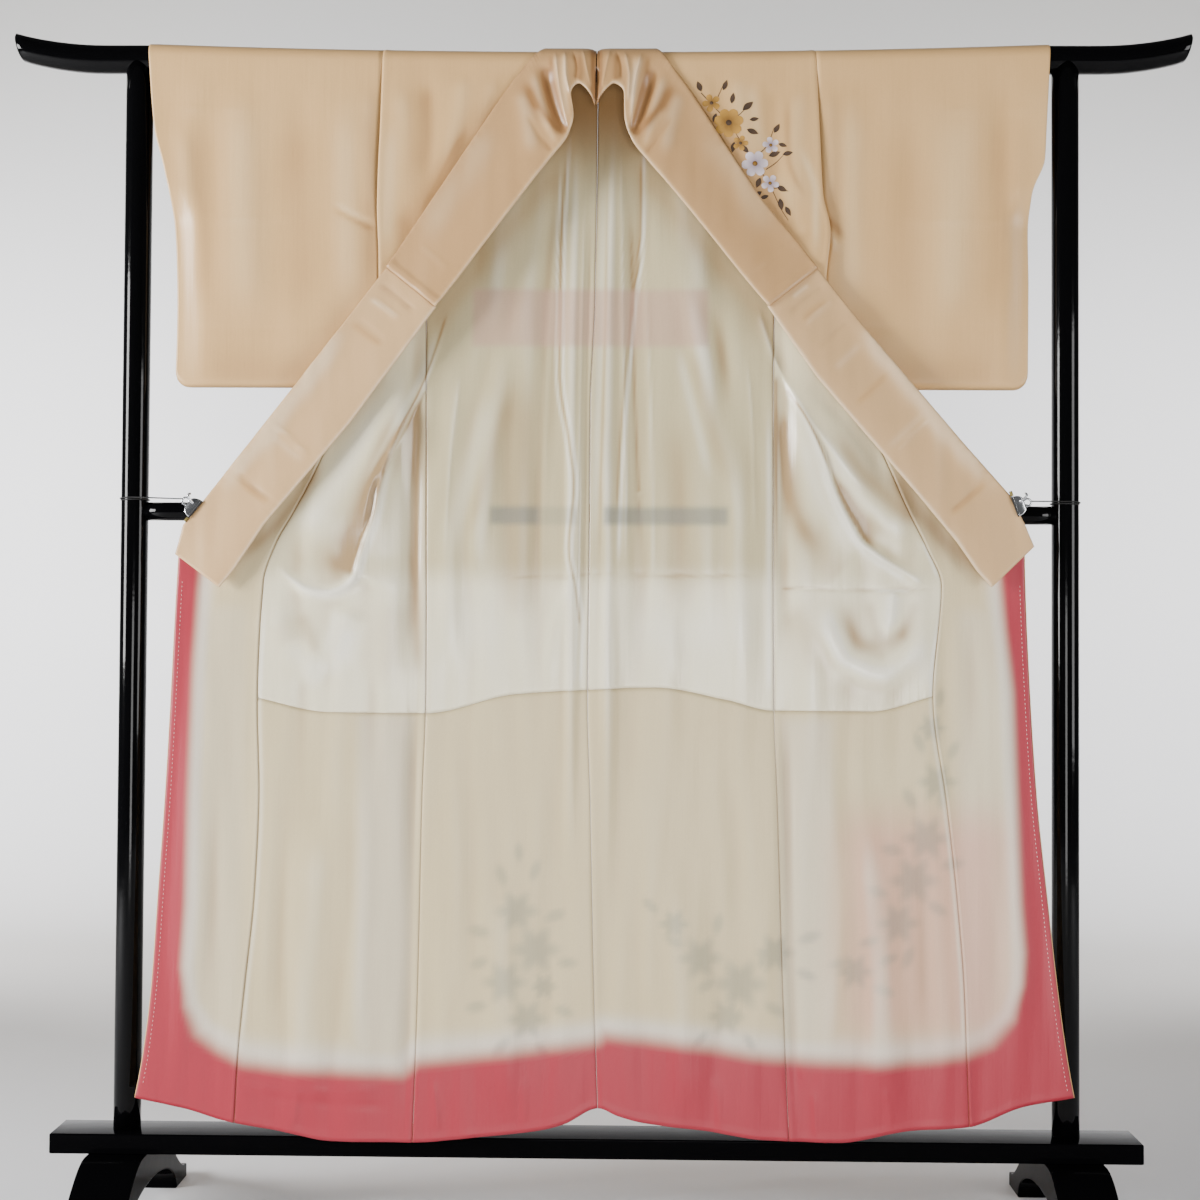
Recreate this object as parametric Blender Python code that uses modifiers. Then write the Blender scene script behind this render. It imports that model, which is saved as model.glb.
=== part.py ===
"""Lined silk kimono hung open on a black lacquered stand with two posts.

The garment hangs by its shoulders and sleeves from the stand's top bar. The two fronts are turned outward,
so that the lining faces forward, and the collar's lower ends are clipped and tied to the posts. Metres, +Z
up, the wearer's back away from the viewer at +Y. The origin is on the floor, midway between the two posts.
"""

import math

import bmesh
import bpy
import numpy as np

MM = 0.001

# Stand: turned and planed wood, black lacquer
POST_X = 0.6765
POST_RADIUS = 0.0195
BAR_TOP = 1.708
BAR_RADIUS = 0.0205
BAR_HALF = 0.855
BAR_LEVEL_HALF = 0.725
BAR_RISE = 0.0175
BAR_END_SLANT = 0.010
BAR_SAG = 0.0115
BAR_SAG_HALF = 0.650
RAIL_HEIGHT = 1.023
RAIL_RADIUS = 0.0135
BOARD_HALF = 0.778
BOARD_DEPTH = 0.075
BOARD_TOP = 0.130
BOARD_THICKNESS = 0.0286
FOOT_X = 0.681
FOOT_WIDTH = 0.084
FOOT_REACH = 0.200
FOOT_CROWN_HALF = 0.050
FOOT_TOE = 0.062
FOOT_TOE_HEIGHT = 0.020
FOOT_ARCH_HEIGHT = 0.056
FIT_GAP = 0.0003

# Cloth: the walls stand for the silk with its seam allowances
OUTER_CLOTH = 0.0012
LINING_CLOTH = 0.0012
LINING_STEP = 0.0016
COLLAR_CLOTH = 0.0020
SEAM_GAP = 0.0004
BAR_CENTRE = BAR_TOP - BAR_RADIUS
SHOULDER_RADIUS = 0.0220
COLLAR_RADIUS = 0.0262
NAPE_REACH = 0.054
SHOULDER_LEAN = 0.017
COLLAR_LEAN = 0.016
BODY_TOP = BAR_CENTRE - NAPE_REACH + SHOULDER_RADIUS * math.pi / 2 - SEAM_GAP
FRONT_TOP = 1.350
OKUMI_TOP = 1.376

# Body seams, mm: height, then x of the back seam, the left side seam and the right side seam
BODY_SEAMS = (
    (1668, -4, -316, 312),
    (1440, -5, -316, 321),
    (1385, -6, -284, 290),
    (1340, -6, -254, 256),
    (1180, -12, -250, 253),
    (1020, -12, -248, 253),
    (760, -13, -245, 254),
    (610, -8, -249, 259),
    (345, -1, -252, 267),
    (126, 7, -257, 276),
)

# Okumi, mm: height, then x of the left seam and left front edge, and of the right seam and right front edge
OKUMI_SEAMS = (
    (1376, -281, -304, 291, 310),
    (1340, -294, -331, 307, 337),
    (1180, -365, -453, 378, 466),
    (1084, -407, -526, 421, 555),
    (1020, -440, -577, 449, 600),
    (976, -464, -603, 471, 611),
    (920, -481, -606, 493, 612),
    (760, -487, -611, 480, 618),
    (610, -482, -617, 499, 627),
    (480, -486, -624, 513, 640),
    (345, -498, -631, 523, 654),
    (250, -506, -641, 526, 667),
    (140, -511, -661, 530, 688),
)

# Hem, mm: x and height
HEM = (
    (-661, 187),
    (-575, 169),
    (-528, 155),
    (-443, 140),
    (-371, 127),
    (-257, 126),
    (-166, 134),
    (-86, 143),
    (-44, 153),
    (7, 176),
    (33, 166),
    (72, 156),
    (159, 146),
    (245, 134),
    (345, 132),
    (442, 149),
    (530, 156),
    (603, 184),
    (688, 200),
)

# Seam between the upper and the lower lining, mm: x and height
SATIN_SEAM = (
    (-487, 753),
    (-384, 733),
    (-245, 732),
    (-117, 760),
    (-13, 767),
    (84, 771),
    (186, 754),
    (254, 739),
    (392, 739),
    (480, 761),
)

# Depth of the outer cloth, mm: height, then y of the back panels and of the turned fronts
BODY_DEPTHS = (
    (1668, 21.0, -17.5),
    (1600, 20.0, -17.5),
    (1440, 10.0, -18.0),
    (1340, 2.0, -19.0),
    (1180, -9.5, -20.5),
    (1020, -19.5, -24.0),
    (920, -22.0, -27.0),
    (760, -27.0, -32.0),
    (480, -37.0, -40.0),
    (250, -43.5, -46.0),
    (126, -46.0, -47.5),
)
FRONT_TURN = 0.060

# Folds of the hanging cloth, mm: three points of the fold's line as x and height, its half width, and its
# depth, forward when positive
FOLDS = (
    (-262, 1330, -266, 1120, -262, 800, 13, -5),
    (-262, 800, -262, 480, -266, 130, 12, -4),
    (262, 1330, 268, 1120, 268, 800, 13, -5),
    (268, 800, 276, 480, 286, 130, 12, -4),
    (-262, 1230, -312, 1060, -336, 985, 15, 13),
    (-336, 985, -366, 912, -440, 902, 20, 12),
    (-292, 1180, -338, 1080, -352, 1010, 13, -8),
    (-280, 1413, -455, 1180, -650, 925, 16, 6),
    (290, 1405, 468, 1185, 660, 945, 16, 6),
    (-470, 880, -440, 800, -405, 745, 24, 6),
    (-352, 880, -370, 800, -392, 740, 20, 5),
    (-305, 1020, -300, 860, -296, 700, 22, -4),
    (268, 1240, 330, 1060, 372, 975, 15, 13),
    (372, 975, 402, 925, 452, 898, 20, 12),
    (330, 1120, 366, 1010, 392, 960, 13, -8),
    (298, 1120, 318, 980, 340, 880, 18, -6),
    (300, 860, 340, 760, 420, 745, 22, 6),
    (420, 745, 470, 800, 484, 880, 22, 6),
    (-120, 1560, -160, 1200, -170, 820, 24, 4),
    (-60, 1560, -80, 1150, -90, 700, 18, -4),
    (-205, 1300, -215, 1000, -215, 760, 20, 4),
    (110, 1560, 150, 1250, 160, 820, 24, 4),
    (50, 1560, 60, 1150, 55, 700, 18, -4),
    (200, 1300, 205, 1000, 205, 760, 20, 4),
    (-34, 1660, -38, 1150, -36, 420, 9, 4),
    (18, 1660, 14, 1150, 20, 420, 9, 4),
    (-140, 520, -130, 320, -120, 140, 26, 4),
    (120, 520, 130, 320, 140, 140, 26, 4),
    (-400, 600, -405, 380, -400, 140, 28, 5),
    (390, 600, 400, 380, 410, 140, 28, 5),
    (-575, 900, -580, 600, -590, 200, 20, 4),
    (570, 900, 590, 600, 600, 200, 20, 4),
)

# Left sleeve, mm: height, then x of its cuff edge and of its edge at the body
LEFT_SLEEVE = (
    (1708, -660, -317),
    (1582, -650, -320),
    (1529, -637, -322),
    (1469, -625, -323),
    (1395, -619, -320),
    (1314, -617, -319),
    (1203, -619, -319),
)
# Right sleeve, mm, with the same columns
RIGHT_SLEEVE = (
    (1708, 651, 312),
    (1582, 645, 318),
    (1538, 643, 320),
    (1486, 625, 323),
    (1430, 622, 334),
    (1360, 623, 328),
    (1205, 622, 326),
)
SLEEVE_BOTTOM = 1.2045
SLEEVE_CORNER = 0.022
SLEEVE_MOUTH_BOTTOM = 1.469
SLEEVE_SEWN_HALF = 0.0026
SLEEVE_SEWN_LENGTH = 0.045

# Sleeve walls, mm: drop below the bar's centre and half the depth between the two walls
SLEEVE_DEPTHS = ((0, 22.0), (120, 19.0), (300, 13.5), (430, 9.5), (484, 6.0))
# Sleeve folds: place along the sleeve from body to cuff, half width as a share, and depth in mm
SLEEVE_FOLDS = ((0.13, 0.06, 3.0), (0.36, 0.09, -2.5), (0.60, 0.08, 3.0), (0.84, 0.06, -2.5))

# Edge of the front's upper part beside the collar, mm: height and x, left and right
UPPER_FRONT_EDGE = (
    (1708, -80, 80),
    (1689, -84, 86),
    (1660, -112, 112),
    (1458, -247, 246),
    (1403, -283, 286),
    (1371, -304, 312),
)

# Over-collar, mm: x and run over the bar of its seam edge, then x and run of its free edge. The run is
# measured along the cloth from the bar's top line, forward and down when positive.
LEFT_OVER_COLLAR = (
    (-306, 343, -233, 402),
    (-280, 303, -206, 367),
    (-230, 227, -158, 302),
    (-175, 143, -105, 231),
    (-130, 76, -72, 188),
    (-100, 37, -46, 153),
    (-86, 16, -38, 123),
    (-76, -22, -42, 92),
    (-58, -46, -31, 77),
    (-34, -53, -17, 89),
    (-5, -54, -7, 106),
)
RIGHT_OVER_COLLAR = (
    (313, 343, 241, 400),
    (287, 309, 210, 363),
    (230, 239, 150, 287),
    (175, 155, 100, 226),
    (130, 85, 70, 191),
    (100, 42, 45, 158),
    (86, 18, 35, 125),
    (76, -22, 34, 90),
    (56, -46, 20, 77),
    (30, -53, 6, 88),
    (-4, -54, -6, 106),
)

# Lower collar, mm: x and height of its seam edge, then x and height of its free edge
LEFT_COLLAR = (
    (-306, 1377, -233, 1317),
    (-435, 1208, -356, 1148),
    (-569, 1035, -478, 1001),
    (-597, 1001, -519, 938),
    (-608, 959, -541, 911),
)
RIGHT_COLLAR = (
    (313, 1377, 241, 1319),
    (392, 1278, 313, 1216),
    (531, 1115, 455, 1050),
    (590, 1049, 511, 982),
    (611, 1007, 540, 940),
    (624, 976, 561, 917),
)
COLLAR_SEAM_DEPTH = 0.0300
COLLAR_EDGE_LIFT = 0.0110
COLLAR_END_LIFT = 0.0040

# Grid steps
BACK_COLUMNS = 6
FRONT_COLUMNS = 7
OKUMI_COLUMNS = 3
BACK_HEAD_ROWS = 4
OKUMI_HEAD_ROWS = 1
UPPER_ROWS = 12
LOWER_ROWS = 4
SHOULDER_ARC_ROWS = 10
SHOULDER_ROWS = 6
SHOULDER_COLUMNS = 6
SLEEVE_STATIONS = 12
SLEEVE_ARC_STEPS = 8
SLEEVE_SIDE_STEPS = 5
OVER_COLLAR_STEPS = (2, 1, 1, 1, 3, 3, 4, 3, 3, 3)
OVER_COLLAR_ACROSS = 11
COLLAR_STATIONS = 8
COLLAR_ACROSS = 3

# Clips and ties
CLIP_HEIGHT = 0.024
CLIP_METAL = 0.0012
CLIP_LENGTH = 0.030
CLIP_GRIP = 0.006
CLIP_FRONT = 0.0364
CLIP_BACK = 0.0255
CLIP_MIDDLE = 0.0310
LEFT_CLIP = (-0.5745, 1.031)
RIGHT_CLIP = (0.5985, 1.034)
TIE_RADIUS = 0.0010
TIE_TURNS = 1.15
TIE_PITCH = 0.0030
TIE_HEIGHT = 1.0420

FINISHES = {
    "black_lacquer": ((0.010, 0.010, 0.012), 0.12, 0.0),
    "outer_silk": ((0.72, 0.56, 0.40), 0.55, 0.0),
    "collar_silk": ((0.66, 0.50, 0.36), 0.50, 0.0),
    "upper_lining": ((0.82, 0.78, 0.70), 0.35, 0.0),
    "lower_lining": ((0.66, 0.58, 0.45), 0.45, 0.0),
    "clip_steel": ((0.60, 0.60, 0.60), 0.25, 1.0),
    "tie_thread": ((0.015, 0.014, 0.013), 0.80, 0.0),
}


def clear_scene():
    """Removes every object of the scene."""
    for obj in list(bpy.data.objects):
        bpy.data.objects.remove(obj, do_unlink=True)


def make_collection(name):
    """Makes a collection under the scene's own and returns it."""
    collection = bpy.data.collections.new(name)
    bpy.context.scene.collection.children.link(collection)
    return collection


def material_for(node, finish):
    """Makes the node's own Principled material from a named finish."""
    colour, roughness, metallic = FINISHES[finish]
    material = bpy.data.materials.new(f"{node}_{finish}")
    material.use_nodes = True
    shader = material.node_tree.nodes["Principled BSDF"]
    shader.inputs["Base Color"].default_value = (*colour, 1.0)
    shader.inputs["Roughness"].default_value = roughness
    shader.inputs["Metallic"].default_value = metallic
    return material


def new_object(name, mesh, collection, finish=None):
    """Puts a mesh or curve into the scene as an object with its own material."""
    obj = bpy.data.objects.new(name, mesh)
    collection.objects.link(obj)
    if finish:
        mesh.materials.append(material_for(name, finish))
    return obj


def smooth(value):
    """Eased step from 0 to 1 as the value runs from 0 to 1."""
    value = np.clip(value, 0.0, 1.0)
    return value * value * (3.0 - 2.0 * value)


def look_up(table, column, key):
    """Reads a column of a table in mm at a key given in metres, and returns metres."""
    rows = np.array(sorted(table), dtype=float)
    return np.interp(np.asarray(key) / MM, rows[:, 0], rows[:, column]) * MM


def bar_drop(x):
    """How far the top bar sags under the cloth at a place along it."""
    return BAR_SAG * np.clip(1.0 - (np.asarray(x) / BAR_SAG_HALF) ** 2, 0.0, 1.0)


def along(table, columns, shares):
    """Reads columns of a table in mm at shares of its length, first row to last, and returns metres."""
    rows = np.array(table, dtype=float)[:, list(columns)]
    lengths = np.linalg.norm(np.diff(rows, axis=0), axis=1)
    place = np.concatenate([[0.0], np.cumsum(lengths)]) / lengths.sum()
    return np.stack([np.interp(shares, place, rows[:, i]) for i in range(rows.shape[1])], axis=-1) * MM


def grid_faces(rows, columns, closed=False):
    """Triangles of a grid of points, its quads all split the same way.

    A closed grid joins its last column to its first.
    """
    faces = []
    for row in range(rows - 1):
        for column in range(columns if closed else columns - 1):
            following = (column + 1) % columns
            a = row * columns + column
            b = row * columns + following
            c = (row + 1) * columns + following
            d = (row + 1) * columns + column
            faces += [(a, b, c), (a, c, d)]
    return faces


def sheet_mesh(name, points, closed=False):
    """Open surface through a grid of points, rows by columns by xyz."""
    rows, columns, _ = points.shape
    mesh = bpy.data.meshes.new(name)
    mesh.from_pydata(points.reshape(-1, 3).tolist(), [], grid_faces(rows, columns, closed))
    return mesh


def flat_wall(name, points, thickness, finish, collection):
    """Closed wall of hanging cloth: its forward sheet drawn straight back along Y by the thickness."""
    mesh = sheet_mesh(name, points)
    form = bmesh.new()
    form.from_mesh(mesh)
    drawn = bmesh.ops.extrude_face_region(form, geom=form.faces[:], use_keep_orig=True)
    moved = [item for item in drawn["geom"] if isinstance(item, bmesh.types.BMVert)]
    bmesh.ops.translate(form, verts=moved, vec=(0.0, thickness, 0.0))
    bmesh.ops.recalc_face_normals(form, faces=form.faces[:])
    form.to_mesh(mesh)
    form.free()
    return new_object(name, mesh, collection, finish)


def bent_wall(name, points, thickness, finish, collection, closed=False):
    """Wall of cloth that turns over the bar: an open surface given its thickness to both sides."""
    obj = new_object(name, sheet_mesh(name, points, closed), collection, finish)
    solid = obj.modifiers.new("cloth", "SOLIDIFY")
    solid.thickness = thickness
    solid.offset = 0.0
    return obj


def distance_to_fold(x, z, fold):
    """Distance from each point to a fold's line of two stretches, and the share of the line passed."""
    ends = np.array(fold[:6], dtype=float).reshape(3, 2) * MM
    best = np.full(x.shape, np.inf)
    share = np.zeros(x.shape)
    for part in (0, 1):
        start = ends[part]
        run = ends[part + 1] - start
        place = ((x - start[0]) * run[0] + (z - start[1]) * run[1]) / run.dot(run)
        place = np.clip(place, 0.0, 1.0)
        apart = np.hypot(x - start[0] - place * run[0], z - start[1] - place * run[1])
        nearer = apart < best
        best = np.where(nearer, apart, best)
        share = np.where(nearer, (part + place) / 2.0, share)
    return best, share


def fold_depth(x, z):
    """Sum of the folds at points of the cloth: rounded ridges and troughs that fade at both ends."""
    depth = np.zeros(x.shape)
    for fold in FOLDS:
        apart, share = distance_to_fold(x, z, fold)
        fade = smooth(share / 0.25) * smooth((1.0 - share) / 0.25)
        depth -= fold[7] * MM * fade * np.exp(-((apart / (fold[6] * MM)) ** 2))
    return depth


def body_depth(x, z):
    """Y of the outer cloth's forward face, where the back panels and the turned fronts hang.

    Outside the side seams the cloth comes forward from the back's depth to the fronts' depth.
    """
    back = look_up(BODY_DEPTHS, 1, z)
    front = look_up(BODY_DEPTHS, 2, z)
    outside = np.where(x < 0, look_up(BODY_SEAMS, 2, z) - x, x - look_up(BODY_SEAMS, 3, z))
    below_arm = smooth((OKUMI_TOP + 0.010 - z) / 0.010)
    return back + (front - back) * smooth(outside / FRONT_TURN) * below_arm + fold_depth(x, z)


def panel_rows(edge_a, edge_b, stops, counts, columns):
    """Grid of x and z for a hanging panel between two seams.

    Args:
        edge_a, edge_b: functions of height that give the two seams' x.
        stops: functions of x, top to bottom, that give the height of each crosswise line.
        counts: number of rows between one stop and the next.
        columns: number of columns between the seams.
    """
    share = np.linspace(0.0, 1.0, columns + 1)
    lines = []
    for stop in stops:
        height = np.full(columns + 1, 0.5)
        for _ in range(4):
            x = edge_a(height) + (edge_b(height) - edge_a(height)) * share
            height = stop(x)
        lines.append(height)
    rows = [lines[0]]
    for upper, lower, count in zip(lines, lines[1:], counts):
        rows += [upper + (lower - upper) * step / count for step in range(1, count + 1)]
    z = np.array(rows)
    x = edge_a(z) + (edge_b(z) - edge_a(z)) * share
    return x, z


def level(height):
    """Crosswise line at one height."""
    return lambda x: np.full(np.shape(x), height)


def below_bar(height):
    """Crosswise line that keeps its distance from the sagging bar."""
    return lambda x: height - bar_drop(x)


def profile(table):
    """Crosswise line that follows a table of x and height in mm."""
    return lambda x: look_up(table, 1, x)


def seam_edge(table, column, inset):
    """Seam read from a table, moved sideways by an inset in metres."""
    return lambda z: look_up(table, column, z) + inset


def lined_panel(names, x, z, split, collection):
    """Outer panel with its lining laid on it, all from one grid.

    Args:
        names: the outer panel, the upper lining or None, and the lower lining.
        x, z: grid of the panel.
        split: row of the seam between the two linings.
    """
    outer = np.stack([x, body_depth(x, z), z], axis=-1)
    flat_wall(names[0], outer, OUTER_CLOTH, "outer_silk", collection)
    lining = outer - (0.0, LINING_STEP, 0.0)
    lower = lining[split:].copy()
    if names[1]:
        upper = lining[: split + 1].copy()
        upper[-1, :, 2] += SEAM_GAP / 2
        lower[0, :, 2] -= SEAM_GAP / 2
        flat_wall(names[1], upper, LINING_CLOTH, "upper_lining", collection)
    flat_wall(names[2], lower, LINING_CLOTH, "lower_lining", collection)


def make_body(side, collection):
    """Back panel, turned front and okumi of one side, each with its lining.

    The side is -1 for the one at -X and 1 for the one at +X.
    """
    word = "left" if side < 0 else "right"
    half_gap = SEAM_GAP / 2 * side
    side_column = 2 if side < 0 else 3
    seam_column, edge_column = (1, 2) if side < 0 else (3, 4)
    stops = (level(FRONT_TOP), profile(SATIN_SEAM), profile(HEM))
    counts = (UPPER_ROWS, LOWER_ROWS)
    back = panel_rows(
        seam_edge(BODY_SEAMS, 1, half_gap),
        seam_edge(BODY_SEAMS, side_column, -half_gap),
        (below_bar(BODY_TOP), *stops),
        (BACK_HEAD_ROWS, *counts),
        BACK_COLUMNS,
    )
    lined_panel(
        (f"back_{word}", f"back_lining_upper_{word}", f"back_lining_lower_{word}"),
        *back,
        BACK_HEAD_ROWS + UPPER_ROWS,
        collection,
    )
    front = panel_rows(
        seam_edge(BODY_SEAMS, side_column, half_gap),
        seam_edge(OKUMI_SEAMS, seam_column, -half_gap),
        stops,
        counts,
        FRONT_COLUMNS,
    )
    lined_panel(
        (f"front_{word}", f"front_lining_upper_{word}", f"front_lining_lower_{word}"),
        *front,
        UPPER_ROWS,
        collection,
    )
    okumi = panel_rows(
        seam_edge(OKUMI_SEAMS, seam_column, half_gap),
        seam_edge(OKUMI_SEAMS, edge_column, 0.0),
        (level(OKUMI_TOP), *stops),
        (OKUMI_HEAD_ROWS, *counts),
        OKUMI_COLUMNS,
    )
    lined_panel((f"okumi_{word}", None, f"okumi_lining_{word}"), *okumi, 0, collection)


def over_bar(x, run, radius, lean):
    """Points of cloth that turns over the bar.

    The run is measured along the cloth from the bar's top line, forward when positive: a quarter turn of the
    given radius, then straight down, leaning forward by the given slope.
    """
    quarter = radius * math.pi / 2
    angle = np.clip(np.abs(run), 0.0, quarter) / radius
    below = np.clip(np.abs(run) - quarter, 0.0, None)
    forward = -np.sign(run) * radius * np.sin(angle) - np.where(run > 0, lean * below, 0.0)
    height = BAR_CENTRE - bar_drop(x) + radius * np.cos(angle) - below
    return np.stack([x, forward, height], axis=-1)


def make_upper_front(side, collection):
    """Upper part of a front: over the shoulder from behind the bar, down to its turn behind the collar."""
    word = "left" if side < 0 else "right"
    quarter = SHOULDER_RADIUS * math.pi / 2
    lower_edge, _, lower_x = UPPER_FRONT_EDGE[-1]
    lowest = BAR_CENTRE - float(bar_drop(lower_x * MM)) - lower_edge * MM + quarter
    arc = np.linspace(-NAPE_REACH, quarter, SHOULDER_ARC_ROWS + 1)
    fall = np.linspace(quarter, lowest, SHOULDER_ROWS + 1)[1:]
    run = np.repeat(np.concatenate([arc, fall])[:, None], SHOULDER_COLUMNS + 1, axis=1)
    sleeve = LEFT_SLEEVE if side < 0 else RIGHT_SLEEVE
    share = np.linspace(0.0, 1.0, SHOULDER_COLUMNS + 1)
    x = np.zeros(run.shape)
    for _ in range(4):
        height = over_bar(x, run, SHOULDER_RADIUS, SHOULDER_LEAN)[..., 2]
        height = np.where(run < 0, BAR_TOP, height)
        outer_edge = look_up(sleeve, 2, height) - side * SEAM_GAP
        inner_edge = look_up(UPPER_FRONT_EDGE, 1 if side < 0 else 2, height)
        x = outer_edge + (inner_edge - outer_edge) * share
    points = over_bar(x, run, SHOULDER_RADIUS, SHOULDER_LEAN)
    bent_wall(f"front_upper_{word}", points, OUTER_CLOTH, "outer_silk", collection)


def sleeve_section():
    """Share of the sleeve's drop and side, forward or back, round one section of the sleeve.

    It runs from the bottom fold up the forward wall, over the bar and down the back wall. The arc over the
    bar is given as an angle instead of a drop.
    """
    falls = np.linspace(1.0, 0.0, SLEEVE_SIDE_STEPS + 1) ** 0.9
    falls[1] = 0.96
    forward = [(fall, -1.0, 0.0) for fall in falls[1:]]
    angles = np.linspace(-90.0, 90.0, SLEEVE_ARC_STEPS + 1)[1:-1]
    over = [(0.0, math.sin(math.radians(angle)), math.cos(math.radians(angle))) for angle in angles]
    back = [(fall, 1.0, 0.0) for fall in falls[:0:-1]]
    return np.array([(1.0, 0.0, 0.0)] + forward + over + back)


def make_sleeve(side, collection):
    """Sleeve as a flat bag over the bar, open at its mouth and at the body, sewn at foot and lower cuff."""
    word = "left" if side < 0 else "right"
    table = LEFT_SLEEVE if side < 0 else RIGHT_SLEEVE
    section = sleeve_section()
    share = smooth(np.linspace(0.0, 1.0, SLEEVE_STATIONS + 1) * 0.5 + 0.5) * 2.0 - 1.0
    share = 0.5 * share + 0.5 * np.linspace(0.0, 1.0, SLEEVE_STATIONS + 1)
    share = share[:, None]
    width = abs(table[-1][1] - table[-1][2]) * MM
    corner = np.clip((share - 1.0) * width / SLEEVE_CORNER + 1.0, 0.0, 1.0)
    bottom = SLEEVE_BOTTOM + SLEEVE_CORNER * (1.0 - np.sqrt(1.0 - 0.98 * corner**2))
    fall, across, rise = section[:, 0], section[:, 1], section[:, 2]
    x = np.zeros((len(share), len(section)))
    for _ in range(4):
        top = BAR_CENTRE - bar_drop(x)
        z = top - fall * (top - bottom) + rise * SHOULDER_RADIUS
        x_body = look_up(table, 2, z)
        x_cuff = look_up(table, 1, z)
        x = x_body + (x_cuff - x_body) * share
    half = look_up(SLEEVE_DEPTHS, 1, np.clip(top - z, 0.0, None))
    for place, wide, deep in SLEEVE_FOLDS:
        half = half + deep * MM * np.exp(-(((share - place) / wide) ** 2)) * fall * (1.0 - fall) * 2.0
    sewn = smooth((share - 1.0) * width / SLEEVE_SEWN_LENGTH + 1.0)
    sewn = sewn * smooth((SLEEVE_MOUTH_BOTTOM + 0.03 - z) / 0.06)
    half = half + (np.minimum(SLEEVE_SEWN_HALF, half) - half) * sewn
    y = half * across
    points = np.stack([x, y, z], axis=-1)
    bent_wall(f"sleeve_{word}", points, OUTER_CLOTH, "outer_silk", collection, closed=True)


def make_over_collar(side, collection):
    """Half of the over-collar, from its seam on the lower collar up over the bar to the nape."""
    word = "left" if side < 0 else "right"
    table = LEFT_OVER_COLLAR if side < 0 else RIGHT_OVER_COLLAR
    rows = np.array(table, dtype=float)
    place = np.concatenate([[0.0]] + [i + np.arange(1, n + 1) / n for i, n in enumerate(OVER_COLLAR_STEPS)])
    edges = np.stack([np.interp(place, np.arange(len(rows)), rows[:, i]) for i in range(4)], axis=-1) * MM
    edges[-1, [0, 2]] += side * SEAM_GAP / 2
    across = np.linspace(0.0, 1.0, OVER_COLLAR_ACROSS + 1)
    x = edges[:, :1] + (edges[:, 2:3] - edges[:, :1]) * across
    run = edges[:, 1:2] + (edges[:, 3:4] - edges[:, 1:2]) * across
    lift = COLLAR_EDGE_LIFT * smooth(across)[None, :] * smooth(run / 0.10)
    points = over_bar(x, run, COLLAR_RADIUS, COLLAR_LEAN)
    points[..., 1] -= lift
    bent_wall(f"over_collar_{word}", points, COLLAR_CLOTH, "collar_silk", collection)


def make_collar(side, collection):
    """Lower stretch of the collar, from the over-collar's seam to its end at the clip."""
    word = "left" if side < 0 else "right"
    table = LEFT_COLLAR if side < 0 else RIGHT_COLLAR
    shares = np.linspace(0.0, 1.0, COLLAR_STATIONS + 1)
    seam = along(table, (0, 1), shares)
    free = along(table, (2, 3), shares)
    down = (seam[1] - seam[0]) / np.linalg.norm(seam[1] - seam[0])
    seam[0] += down * SEAM_GAP * 2
    free[0] += down * SEAM_GAP * 2
    across = np.linspace(0.0, 1.0, COLLAR_ACROSS + 1)
    flat = seam[:, None, :] + (free - seam)[:, None, :] * across[None, :, None]
    lift = COLLAR_EDGE_LIFT * smooth(across)[None, :] + COLLAR_END_LIFT * smooth(shares)[:, None]
    depth = -COLLAR_SEAM_DEPTH - lift
    points = np.stack([flat[..., 0], depth - COLLAR_CLOTH / 2, flat[..., 1]], axis=-1)
    flat_wall(f"collar_{word}", points, COLLAR_CLOTH, "collar_silk", collection)


def cylinder(name, radius, start, end, collection, finish=None, sides=32):
    """Round bar between two points, from a primitive."""
    form = bmesh.new()
    length = math.dist(start, end)
    bmesh.ops.create_cone(form, cap_ends=True, segments=sides, radius1=radius, radius2=radius, depth=length)
    mesh = bpy.data.meshes.new(name)
    form.to_mesh(mesh)
    form.free()
    obj = new_object(name, mesh, collection, finish)
    obj.location = [(a + b) / 2 for a, b in zip(start, end)]
    if abs(start[2] - end[2]) < 1e-6:
        obj.rotation_euler = (0.0, math.pi / 2, 0.0)
    return obj


def cut(obj, cutter):
    """Cuts one object by another, which stays as a hidden guide."""
    cutter.hide_render = True
    cutter.display_type = "WIRE"
    modifier = obj.modifiers.new("cut", "BOOLEAN")
    modifier.operation = "DIFFERENCE"
    modifier.object = cutter


def tube(name, points, radius, finish, collection, resolution=2):
    """Round tube along points, with its two ends closed."""
    curve = bpy.data.curves.new(name, "CURVE")
    curve.dimensions = "3D"
    curve.bevel_depth = radius
    curve.bevel_resolution = resolution
    curve.use_fill_caps = True
    spline = curve.splines.new("POLY")
    spline.points.add(len(points) - 1)
    for point, place in zip(spline.points, points):
        point.co = (*place, 1.0)
    return new_object(name, curve, collection, finish)


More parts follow.
